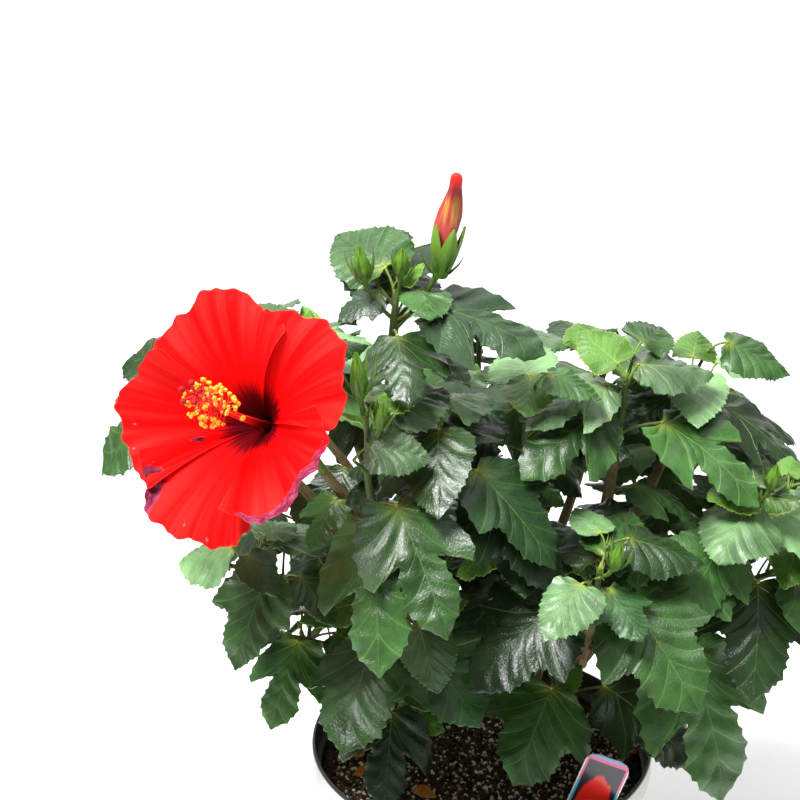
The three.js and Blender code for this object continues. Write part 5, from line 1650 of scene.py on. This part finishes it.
# What lies on the soil: the piece, its grain's shape, its look's name, colours and roughness, how many grains
# to the square metre (the perlite's is a setting), their seed, least and greatest size, and tilt
GRAINS = (
    ("soil_crumbs", (lump, 3, 1.5, 0.5, 0.8),
     ("Soil crumbs", (0.012, 0.007, 0.005), (0.075, 0.04, 0.022), 0.85), 105000, 11, 0.35, 1.5, HALF_TURN),
    ("soil_perlite", (lump, 9, 1.1, 0.4, 0.8), ("Perlite", (0.5, 0.46, 0.38), (0.86, 0.83, 0.75), 0.8),
     None, 5, 0.45, 1.75, HALF_TURN),
    ("soil_grit", (lump, 5, 1.0, 0.5, 0.8), ("Tan grit", (0.2, 0.12, 0.06), (0.45, 0.31, 0.18), 0.8),
     17000, 23, 0.5, 1.7, HALF_TURN),
    ("soil_chips", (chip, 7, 8, 3.4, 1.1), ("Bark chips", (0.045, 0.02, 0.01), (0.17, 0.08, 0.036), 0.85),
     8200, 37, 0.35, 1.2, 0.5),
)
# Dry leaves on the soil: the place across and back, the length, the bearing and the curl
FALLEN = (
    (-58, -8, 21, 200, 0.9), (-40, -30, 15, 320, 0.9), (88, 12, 17, 30, 0.7), (-74, 3, 12, 100, 0.9),
    (20, 56, 26, 80, 0.6), (-50, 48, 20, 150, 0.8), (86, 24, 10, 200, 0.9), (-62, 13, 15, 10, 0.9),
    (-40, 30, 14, 60, 0.7), (60, -62, 14, 250, 0.9), (-8, -74, 16, 130, 0.8), (46, 34, 18, 300, 0.6),
)


def strew_soil(settings):
    top = soil_top(SOIL.strewn)
    for name, (maker, *shape), look, density, seed, small, large, tilt in GRAINS:
        count = float(density or settings.perlite)
        scatter(name, top.copy(), maker(*shape), grain_look(*look), "soil", ["soil"],
                Density=count, Seed=seed, Smallest=small, Largest=large, Turn=tilt)
    fallen_leaves()


def fallen_leaves():
    """Dry leaves and scraps that lie on the soil."""
    piece = Piece()
    for number, (x, y, length, bearing, curl) in enumerate(FALLEN):
        dice = Dice(number * 89 + 7)
        base = vec(x, y, SOIL_LEVEL + soil_height(x, y) + 2.2)
        shape = dict(length=length, roll=dice.swing(14), kind="ovate", fold=-curl * 0.4, bend=-curl * 0.35,
                     width=0.75)
        leaf = make_leaf(base - vec(0, 0, 1), base, bearing, 4, shape)
        leaf.number = number
        dress_leaf(leaf, dice)
        leaf.ruffle *= 2.6
        blade_mesh(piece, leaf, (0, 0))
    piece.finish("soil_dry_leaves", [fibres("Dry leaf", scale=3.0)], "soil", ["soil"], 60)


def label_look(settings):
    """The printed front: a coloured border, a dark panel and a plain round motif."""
    look, w, shader = new_look("Printed card", Roughness=0.3, Coat_Weight=0.5, Coat_Roughness=0.1)
    place = w.vector("pattern")
    x, y, _ = w.parts(place)
    middle = w.node("ShaderNodeMapping", None, Vector=place, Location=(0.0, -0.62, 0.0)).outputs[0]
    oval = w.stretch(middle, (0.44, 1.35, 0))
    away = w.node("ShaderNodeVectorMath", {"operation": "LENGTH"}, Vector=oval).outputs["Value"]
    away = w.plus(away, w.times(w.minus(w.noise(place, 5.0, 2.0, 0.5), 0.5), 0.14))
    out = w.math("ABSOLUTE", x)
    base = w.mix(w.fall(away, 0.3, 0.33), colour(settings.panel_colour), colour(settings.motif_colour))
    base = w.mix(w.fall(away, 0.05, 0.08), base, (0.9, 0.28, 0.02, 1))
    bands = w.ramp(w.math("SINE", w.times(y, 16.0)), -0.3, 0.3)
    edge = w.mix(bands, (0.06, 0.42, 0.62, 1), (0.75, 0.1, 0.28, 1))
    base = w.mix(w.ramp(out, 0.84, 0.86), base, edge)
    base = w.mix(w.ramp(out, 0.94, 0.955), base, (0.86, 0.86, 0.84, 1))
    base = w.mix(w.ramp(y, 0.95, 0.96), base, edge)
    base = w.mix(w.fall(y, 0.3, 0.32), base, (0.82, 0.82, 0.8, 1))
    surface(w, shader, base)
    return look


# The card's mesh: its rows on the pointed foot and above it, its columns, and how far it stands back
CARD = Facts(foot=14, above=46, columns=17, back=0.3)


def make_label(settings):
    """A push-in card, printed in front and white behind."""
    look = label_look(settings)
    card = moulded_look("White card", (0.78, 0.78, 0.76), (0.6, 0.56, 0.5), 0.45, 0.3)
    rows, columns = CARD.foot + CARD.above, CARD.columns
    ys = np.append(np.linspace(0, LABEL.point, CARD.foot),
                   np.linspace(LABEL.point, LABEL.height, CARD.above + 1)[1:])
    half = np.interp(ys, (0, LABEL.point, LABEL.height), (LABEL.tip,) + (LABEL.width / 2,) * 2)
    corner = np.clip((ys - LABEL.height + LABEL.corner) / LABEL.corner, 0, 1)
    half = half - LABEL.corner * (1 - np.sqrt(1 - corner**2))
    front = cross(unit(on_label(0, 1) - on_label(0, 0)), unit(on_label(1, 0) - on_label(0, 0)))
    front = -front if front[1] > 0 else front
    points, marks = np.zeros((2, rows, columns, 3)), np.zeros((2, rows, columns, 6))
    for i, y_mm in enumerate(ys):
        for j, t in enumerate(np.linspace(-1, 1, columns)):
            bow = LABEL.bow * (1 - t * t)
            for layer, side in enumerate((0.5, -0.5)):
                away = LABEL.thick * side + bow - CARD.back
                points[layer, i, j] = on_label(t * half[i], y_mm) + front * away
            marks[:, i, j, 0], marks[:, i, j, 1] = t * half[i] / (LABEL.width / 2), y_mm / LABEL.height
    faces = shell_faces(rows, columns)
    corner = points[0, 0, 0]
    if cross(points[0, 1, 0] - corner, points[0, 0, 1] - corner) @ front <= 0:
        faces = turned_over(faces)
    piece = Piece()
    piece.add(points, faces, marks, [0, 1, 1])
    piece.finish("label_card", [look, card], "label", ["plant_label"], 40)


# The pieces of the plant

# Stumps of cut side stems: the stem, the share of its length, the bearing, the reach and the radius
STUBS = (
    ("stem_right", 0.72, -60, 11, 3.4), ("stem_right", 0.45, 10, 7, 2.4), ("stem_left", 0.6, 200, 7, 2.6),
    ("stem_middle", 0.5, -100, 6, 2.2),
)


def make_bark(settings):
    bark = fibre_look("Bark", settings.bark_dark, settings.bark_light, (0.52, 0.4, 0.24), 0.75, 0.9, 0.0012)
    recolour(bark, lambda w, old: w.mix(w.ramp(w.tone(), 0.2, 0.62), old,
                                        w.mix(0.35, colour(settings.shoot_colour), old)))
    plant = crown()
    piece = Piece()
    for number, limb in enumerate(plant.stems.values()):
        stem_mesh(piece, limb, 101 + 37 * number)
    for stem, *facts in STUBS:
        stub_mesh(piece, plant.stems[stem], *facts)
    piece.finish("bark_stems", [bark, fibres("Cut wood")], "bark", list(STEMS), 60)
    piece = Piece()
    for number, limb in enumerate(plant.boughs.values()):
        bough_mesh(piece, limb, 401 + 29 * number)
    piece.finish("bark_boughs", [bark], "bark", list(BOUGHS), 60)


def tone_facts(vein, shown, coat, edge=None, spread=1.3):
    return Facts(vein=vein, shown=shown, coat=coat, edge=edge, spread=spread)


# Each tone's veins and how strongly they show, its gloss, its margin, and how far its leaves differ
TONES = {
    # The deep tone is painted shade, for the finer leaves and for leaves low or inside the crown
    "deep": tone_facts((0.045, 0.1, 0.022), 0.45, 0.24),
    "dark": tone_facts((0.08, 0.17, 0.04), 0.45, 0.36),
    "fresh": tone_facts((0.2, 0.36, 0.09), 0.5, 0.36),
    "bright": tone_facts((0.24, 0.38, 0.06), 0.4, 0.2, (0.28, 0.4, 0.06), 0.6),
}
RIB_COLOURS = {"old": ((0.07, 0.14, 0.03), (0.17, 0.26, 0.07)), "new": ((0.2, 0.34, 0.07), (0.4, 0.54, 0.15))}
# One piece of leaves stays below this
MOST_TRIANGLES = 180000


def make_leaves(settings):
    plant = crown()
    under = leaf_look("Leaf underside", settings.under_colour, (0.55, 1.2), (0.42, 0.5, 0.16), 0.6, 0.0,
                      height=0.0006)
    pieces = {tone: Piece() for tone in TONES}
    ribs = {"old": Piece(), "new": Piece()}
    stalks, joints = Piece(), Piece()
    for leaf in plant.leaves:
        tone = tone_of(leaf)
        blade_mesh(pieces[tone], leaf)
        young = tone in ("bright", "fresh")
        if leaf.length > LEAF_GRID.small:
            rib_mesh(ribs["new" if young else "old"], leaf)
        stalk_mesh(stalks, leaf, 0.9 if young else 0.35 + 0.5 * leaf.shade)
        joint_mesh(joints, leaf)
    for tone, facts in TONES.items():
        look = leaf_look("Leaf " + tone, getattr(settings, tone + "_colour"), (0.62, 1.35), facts.vein,
                         settings.gloss, facts.coat, facts.edge, shown=facts.shown, spread=facts.spread)
        for half, part in enumerate(pieces[tone].split(MOST_TRIANGLES)):
            part.finish_green("leaves_%s_%d" % (tone, half + 1), look, under)
    for age, (dark, light) in RIB_COLOURS.items():
        look = fibre_look("Ribs " + age, dark, light, light, 0.5, 0.3, 0.0003)
        ribs[age].finish_green("leaf_ribs_" + age, look)
    stem = fibres("Leaf stalks")
    tint_by_tone(stem, (0.14, 0.24, 0.04))
    stalks.finish_green("leaf_stalks", stem)
    joints.finish_green("leaf_joints", fibres("Leaf joints"))


def tint_by_tone(look, fresh):
    """Limbs turn towards a fresh colour with the tone that their mesh carries."""
    recolour(look, lambda w, old: w.mix(w.ramp(w.tone(), 0.35, 0.9), old, colour(fresh)))


def make_shoots():
    green = fibres("Green shoots")
    tint_by_tone(green, (0.06, 0.12, 0.02))
    piece = Piece()
    plant = crown()
    for mass in plant.masses:
        limb_mesh(piece, mass.stem, mass.bough.tip, STEM_TIP, 800 + mass.number * 17, SHOOT_SKIN)
    for path in plant.twigs:
        tube(piece, path, (1.25, 1.2, 1.15, 1.05, 1.0, 0.9, 0.7), 7, tone=0.8)
    piece.finish_green("green_shoots", green)


def make_tips(settings):
    base = settings.bright_colour
    young = leaf_look("Folded young leaf", base, (0.8, 1.3), (0.5, 0.66, 0.14), settings.gloss + 0.1, 0.15,
                      (0.55, 0.64, 0.14), 0.0002)
    under = leaf_look("Young underside", base, (0.9, 1.4), (0.55, 0.68, 0.2), 0.6, 0.0, height=0.0003)
    blades, scales = Piece(), Piece()
    for mass in crown().masses:
        tip_growth(blades, scales, mass)
        stipules(scales, mass)
    blades.finish_green("young_leaves", young, under)
    scales.finish_green("young_scales", fibres("Bud scales", tip=(0.3, 0.4, 0.08)))


def green_looks():
    if "greens" not in MADE:
        MADE["greens"] = (fibres("Bud stalks and bracts"), fibres("Green cup", tip=(0.14, 0.28, 0.022)))
    return MADE["greens"]


def make_buds(settings):
    stalk, cup = green_looks()
    masses = {mass.name: mass for mass in crown().masses}
    buds = Piece()
    for mass, *facts in BUDS[1:]:
        bud_mesh(buds, masses[mass], *facts)
    buds.finish("buds", [stalk, cup], "leaf", sorted({row[0] for row in BUDS[1:]}), 50)
    furled = Piece()
    mass, *facts = BUDS[0]
    furled_mesh(furled, masses[mass], *facts)
    furled.finish("furled_bloom", [stalk, cup, rolled_look(settings)], "bloom", [mass], 50)


def rolled_look(settings):
    """Petals rolled in the bud: streaked and patched low down, and clear red at the tip."""
    look, w, shader = new_look("Rolled petals", Specular_IOR_Level=0.3, Sheen_Weight=0.1)
    up = w.parts(w.vector("place"))[0]
    long = w.stretch(w.vector("pattern"), (1.0, 1.0, 0.07))
    streak = w.noise(long, 1.2, 4.0, 0.6)
    patch = w.noise(long, 0.3, 2.0, 0.5)
    base = w.mix(w.ramp(patch, 0.44, 0.58), (0.34, 0.035, 0.028, 1), (0.5, 0.22, 0.02, 1))
    base = w.mix(w.ramp(up, 0.48, 0.6), (0.42, 0.05, 0.04, 1), base)
    base = w.mix(w.ramp(up, 0.7, 0.84), base, (0.24, 0.012, 0.018, 1))
    base = w.mix(w.ramp(up, 0.84, 0.95), base, colour(settings.tip_colour))
    base = w.mix(w.times(w.ramp(streak, 0.5, 0.75), 0.4), base, (0.5, 0.13, 0.085, 1))
    surface(w, shader, base, w.plus(0.42, w.times(streak, 0.25)), streak)
    return look


def petal_look(settings):
    """Veined red with a deep throat, bruises with dark rims, and specks on the older petals. A painted
    highlight of paler, pinker red lies in broad patches towards each petal's outer part, and another runs as
    a thin pale line along its tip and sides.
    """
    look, w, shader = new_look("Petal", Specular_IOR_Level=0.05)
    pattern, place = w.vector("pattern"), w.vector("place")
    across, up, bruise = w.parts(pattern)
    fan = w.stretch(place, (6.5, 1.0, 0.6))
    veins = w.noise(fan, 2.4, 5.0, 0.62)
    broad = w.noise(fan, 0.55, 3.0, 0.5)
    red = settings.petal_colour
    base = w.mix(w.ramp(veins, 0.36, 0.66), colour(red, 0.86), colour(red, 1.1))
    # Painted highlight: paler, pinker red in broad patches towards the outer part of each petal
    far = w.ramp(up, 0.35, 1.0)
    base = w.mix(w.times(w.times(w.ramp(broad, 0.35, 0.7), far), 0.6), base, (0.86, 0.028, 0.024, 1))
    throat_edge = w.plus(0.27, w.times(w.minus(veins, 0.5), 0.6))
    throat = w.fall(w.minus(up, throat_edge), -0.06, 0.08)
    base = w.mix(throat, base, colour(settings.throat_colour))
    blotch = w.noise(pattern, 9.0, 5.0, 0.7)
    mask = w.ramp(w.plus(bruise, w.times(w.minus(blotch, 0.5), 1.1)), 0.38, 0.62)
    hurt = w.mix(w.ramp(blotch, 0.38, 0.72), (0.07, 0.006, 0.03, 1), (0.3, 0.07, 0.14, 1))
    base = w.mix(w.times(mask, 0.9), base, hurt)
    specks = w.cells(pattern, 6.5)
    dots = w.plus(specks["Distance"], w.times(w.minus(blotch, 0.5), 0.25))
    dots = w.fall(dots, 0.04, 0.13)
    dots = w.times(dots, w.ramp(w.parts(specks["Color"])[0], 0.6, 0.65))
    older = w.math("COMPARE", w.parts(place)[1], 2.3, 0.9)
    dots = w.times(w.times(dots, w.ramp(up, 0.5, 0.75)), older)
    base = w.mix(w.times(dots, 0.6), base, (0.6, 0.12, 0.19, 1))
    # Painted highlight: a thin pale line along each petal's tip and, towards its outer part, along its sides
    side = w.times(w.ramp(w.math("ABSOLUTE", across), 0.98, 1.0), far)
    rim = w.math("MAXIMUM", w.ramp(up, 0.985, 1.0), side)
    base = w.mix(w.times(rim, 0.15), base, (0.85, 0.12, 0.11, 1))
    height = w.plus(veins, w.times(mask, blotch))
    surface(w, shader, base, w.plus(0.5, w.times(veins, 0.3)), height, 0.5, 0.0006)
    return look


def make_bloom(settings):
    stalk, cup = green_looks()
    bloom = Piece()
    for number in range(len(PETALS)):
        petal_mesh(bloom, number)
    red = fibres("Stamen column")
    recolour(red, lambda w, old: w.mix(w.fall(w.parts(w.vector("place"))[0], 0.12, 0.42), old,
                                       (0.2, 0.001, 0.002, 1)))
    column_mesh(bloom)
    throat_mesh(bloom)
    looks = [petal_look(settings), red, fibres("Stigmas"), fibres("Throat", specular=0.02)]
    bloom.finish("bloom_petals", looks, "bloom", ["bloom"], 60)
    green = Piece()
    cup_mesh(green)
    green.finish("bloom_cup", [stalk, cup, cup, stalk, cup], "bloom", ["bloom"], 50)
    pollen = grain_look("Anthers", (0.85, 0.3, 0.01), (0.95, 0.55, 0.06), 0.6)
    mesh = stamen_seats()
    values = dict(Density=float(settings.anthers), Seed=4, Smallest=0.7, Largest=1.5, Turn=0.55)
    thread = grain_look("Filaments", (0.7, 0.012, 0.01), (0.85, 0.06, 0.03), 0.5)
    scatter("bloom_filaments", mesh, filament(), thread, "bloom", ["bloom"], **values)
    scatter("bloom_anthers", mesh.copy(), anther(), pollen, "bloom", ["bloom"], **values)


def filament():
    piece = Piece()
    tube(piece, [vec(0, 0, 0), vec(0.2, 0, 4.6), vec(0.9, 0, 8.6)], (0.3, 0.24, 0.2), 5)
    return plain_mesh(piece, "filament")


def anther():
    piece = Piece()
    for x, z in ((0.35, 9.0), (1.5, 8.8)):
        ball(piece, vec(x, 0, z), (0.85, 1.05, 0.85), 0, 1)
    return plain_mesh(piece, "anther")


# Floor, light and camera

# Softboxes: the place, the point each faces, its share of the key light's power, and its width, in metres
LAMPS = {
    "key": ((-0.7, -0.5, 2.1), (0, 0, 0.33), 1, 0.8),
    "ceiling": ((0, 1.4, 3.6), (0, 1.4, 0), 1.75, 6.5),
    "back": ((0, 4.6, 1.9), (0, 0, 0.2), 0.75, 5),
}
FAR_CLIP = 60


def make_stage(settings):
    look, w, shader = new_look("Studio floor", Roughness=0.9, Specular_IOR_Level=0.1)
    paper = w.noise(w.place(), 1.3, 3.0, 0.5)
    surface(w, shader, w.mix(paper, (0.9, 0.9, 0.905, 1), (0.93, 0.93, 0.93, 1)))
    disc = bmesh.new()
    bmesh.ops.create_circle(disc, cap_ends=True, segments=96, radius=settings.floor_size)
    mesh = shape_mesh(disc, "studio_floor")
    mesh.materials.append(look)
    floor = put("studio_floor", mesh)
    set_surround(settings)
    set_lamps(settings)
    set_camera()


def set_surround(settings):
    """An even white surround, shown without a film look."""
    world = bpy.data.worlds.new("Studio")
    world.use_nodes = True
    back = world.node_tree.nodes["Background"]
    back.inputs["Color"].default_value = (1, 1, 1, 1)
    back.inputs["Strength"].default_value = settings.sky_strength
    bpy.context.scene.world = world
    bpy.context.scene.view_settings.view_transform = "Standard"


def set_lamps(settings):
    for name, (spot, aim, share, size) in LAMPS.items():
        lamp = bpy.data.lights.new(name, "AREA")
        lamp.energy, lamp.shape, lamp.size = settings.key_power * share, "DISK", size
        light = put(name, lamp)
        light.location = spot
        light.rotation_euler = (Vector(aim) - Vector(spot)).to_track_quat("-Z", "Y").to_euler()


def set_camera():
    """The camera at the photograph's place and angle."""
    lens = bpy.data.cameras.new("camera")
    lens.sensor_width, lens.lens = CAMERA.sensor, CAMERA.lens
    lens.clip_end = FAR_CLIP
    camera = put("camera", lens)
    camera.location = Vector(CAMERA.at) * MM
    camera.rotation_euler = (math.radians(CAMERA.pitch), 0, 0)
    bpy.context.scene.camera = camera


# Settings and operators

def colour_setting(name, description, default):
    return bpy.props.FloatVectorProperty(
        name=name, description=description, subtype="COLOR", size=3, min=0, max=1, default=default)


class PotSettings(bpy.types.PropertyGroup):
    wall_colour: colour_setting("Wall", "Colour of the pot's outer wall", (0.6, 0.6, 0.59))
    rim_colour: colour_setting("Rim", "Colour of the rim and the inside", (0.03, 0.034, 0.026))
    soil_colour: colour_setting("Soil", "Middle colour of the potting soil", (0.05, 0.028, 0.016))
    perlite: bpy.props.FloatProperty(name="Perlite", description="White grains to each square metre of soil",
                                     default=60000, min=0)
    panel_colour: colour_setting("Label panel", "Ground of the printed label", (0.015, 0.016, 0.022))
    motif_colour: colour_setting("Label motif", "Round motif on the printed label", (0.8, 0.02, 0.012))


class WoodSettings(bpy.types.PropertyGroup):
    bark_dark: colour_setting("Dark bark", "Colour in the furrows of the bark", (0.15, 0.085, 0.04))
    bark_light: colour_setting("Light bark", "Colour of the ridges of the bark", (0.5, 0.33, 0.175))
    shoot_colour: colour_setting("Shoot", "Colour of the green wood", (0.1, 0.12, 0.035))


class LeafSettings(bpy.types.PropertyGroup):
    # The deep colour is painted shade, for leaves low and inside the crown
    deep_colour: colour_setting("Deep", "Leaves inside and low in the crown", (0.012, 0.042, 0.009))
    dark_colour: colour_setting("Dark", "Grown leaves", (0.024, 0.074, 0.012))
    fresh_colour: colour_setting("Fresh", "Leaves not yet hardened", (0.106, 0.205, 0.082))
    bright_colour: colour_setting("Bright", "Leaves that have just opened", (0.078, 0.2, 0.02))
    under_colour: colour_setting("Underside", "Lower face of a leaf", (0.12, 0.19, 0.03))
    gloss: bpy.props.FloatProperty(
        name="Roughness", description="Least roughness of a leaf's face", default=0.3, min=0, max=1,
        subtype="FACTOR")


class BloomSettings(bpy.types.PropertyGroup):
    petal_colour: colour_setting("Petals", "Colour of the open petals", (0.74, 0.001, 0.0015))
    throat_colour: colour_setting("Throat", "Deep colour where the petals meet", (0.09, 0.0, 0.002))
    tip_colour: colour_setting("Furled tip", "Tip of the furled bloom", (0.72, 0.008, 0.008))
    anthers: bpy.props.FloatProperty(name="Anthers", description="Anthers to each square metre of the column",
                                     default=230000, min=0)


class StageSettings(bpy.types.PropertyGroup):
    floor_size: bpy.props.FloatProperty(name="Floor", description="Radius of the floor", default=9, min=1,
                                        unit="LENGTH")
    sky_strength: bpy.props.FloatProperty(name="Surround", description="Strength of the even white surround",
                                          default=0.3, min=0)
    key_power: bpy.props.FloatProperty(
        name="Key light", description="Power of the main softbox", default=82, min=0, unit="POWER")


SETTINGS = {"pot": PotSettings, "wood": WoodSettings, "leaf": LeafSettings, "bloom": BloomSettings,
            "stage": StageSettings}


def settings_of(context, name):
    return getattr(context.scene, "hibiscus_" + name)


class HIBISCUS_OT_pot(bpy.types.Operator):
    """Turn the pot with its rolled rim and drain holes"""
    bl_idname = "hibiscus.pot"
    bl_label = "Pot"

    def execute(self, context):
        make_pot(settings_of(context, "pot"))
        return {"FINISHED"}


class HIBISCUS_OT_soil(bpy.types.Operator):
    """Fill the pot with lumpy soil and strew perlite, grit, bark and dry leaves over it"""
    bl_idname = "hibiscus.soil"
    bl_label = "Soil"

    def execute(self, context):
        make_soil(settings_of(context, "pot"))
        return {"FINISHED"}


class HIBISCUS_OT_label(bpy.types.Operator):
    """Stand the printed card in the soil"""
    bl_idname = "hibiscus.label"
    bl_label = "Label"

    def execute(self, context):
        make_label(settings_of(context, "pot"))
        return {"FINISHED"}


class HIBISCUS_OT_bark(bpy.types.Operator):
    """Cover the stems and boughs with bark"""
    bl_idname = "hibiscus.bark"
    bl_label = "Stems and boughs"

    def execute(self, context):
        make_bark(settings_of(context, "wood"))
        return {"FINISHED"}


class HIBISCUS_OT_leaves(bpy.types.Operator):
    """Grow the leaves of every mass with their ribs, stalks and joints"""
    bl_idname = "hibiscus.leaves"
    bl_label = "Leaves"

    def execute(self, context):
        make_leaves(settings_of(context, "leaf"))
        return {"FINISHED"}


class HIBISCUS_OT_shoots(bpy.types.Operator):
    """Grow the green shoots and side twigs, and the folded leaves at their tips"""
    bl_idname = "hibiscus.shoots"
    bl_label = "Shoots and tips"

    def execute(self, context):
        make_shoots()
        make_tips(settings_of(context, "leaf"))
        return {"FINISHED"}


class HIBISCUS_OT_buds(bpy.types.Operator):
    """Make the green buds and the furled bloom"""
    bl_idname = "hibiscus.buds"
    bl_label = "Buds and furled bloom"

    def execute(self, context):
        make_buds(settings_of(context, "bloom"))
        return {"FINISHED"}


class HIBISCUS_OT_bloom(bpy.types.Operator):
    """Open the red bloom with its column of stamens and its green cup"""
    bl_idname = "hibiscus.bloom"
    bl_label = "Open bloom"

    def execute(self, context):
        make_bloom(settings_of(context, "bloom"))
        return {"FINISHED"}


class HIBISCUS_OT_stage(bpy.types.Operator):
    """Lay the floor and set the lights and the camera"""
    bl_idname = "hibiscus.stage"
    bl_label = "Stage"

    def execute(self, context):
        make_stage(settings_of(context, "stage"))
        return {"FINISHED"}


OPERATORS = (HIBISCUS_OT_stage, HIBISCUS_OT_pot, HIBISCUS_OT_soil, HIBISCUS_OT_label, HIBISCUS_OT_bark,
             HIBISCUS_OT_shoots, HIBISCUS_OT_leaves, HIBISCUS_OT_buds, HIBISCUS_OT_bloom)


class HIBISCUS_PT_panel(bpy.types.Panel):
    bl_idname = "HIBISCUS_PT_panel"
    bl_label = "Potted hibiscus"
    bl_space_type = "VIEW_3D"
    bl_region_type = "UI"
    bl_category = "Hibiscus"

    def draw(self, context):
        for operator in OPERATORS:
            self.layout.operator(operator.bl_idname)
        for name, group in SETTINGS.items():
            box = self.layout.box()
            box.label(text=name.capitalize())
            for key in group.__annotations__:
                box.prop(settings_of(context, name), key)


def register():
    for made in (*SETTINGS.values(), *OPERATORS, HIBISCUS_PT_panel):
        bpy.utils.register_class(made)
    for name, group in SETTINGS.items():
        setattr(bpy.types.Scene, "hibiscus_" + name, bpy.props.PointerProperty(type=group))


def unregister():
    for name in SETTINGS:
        delattr(bpy.types.Scene, "hibiscus_" + name)
    for made in reversed((*SETTINGS.values(), *OPERATORS, HIBISCUS_PT_panel)):
        bpy.utils.unregister_class(made)


def main():
    register()
    for operator in OPERATORS:
        getattr(bpy.ops.hibiscus, operator.bl_idname.split(".")[1])()


if __name__ == "__main__":
    main()
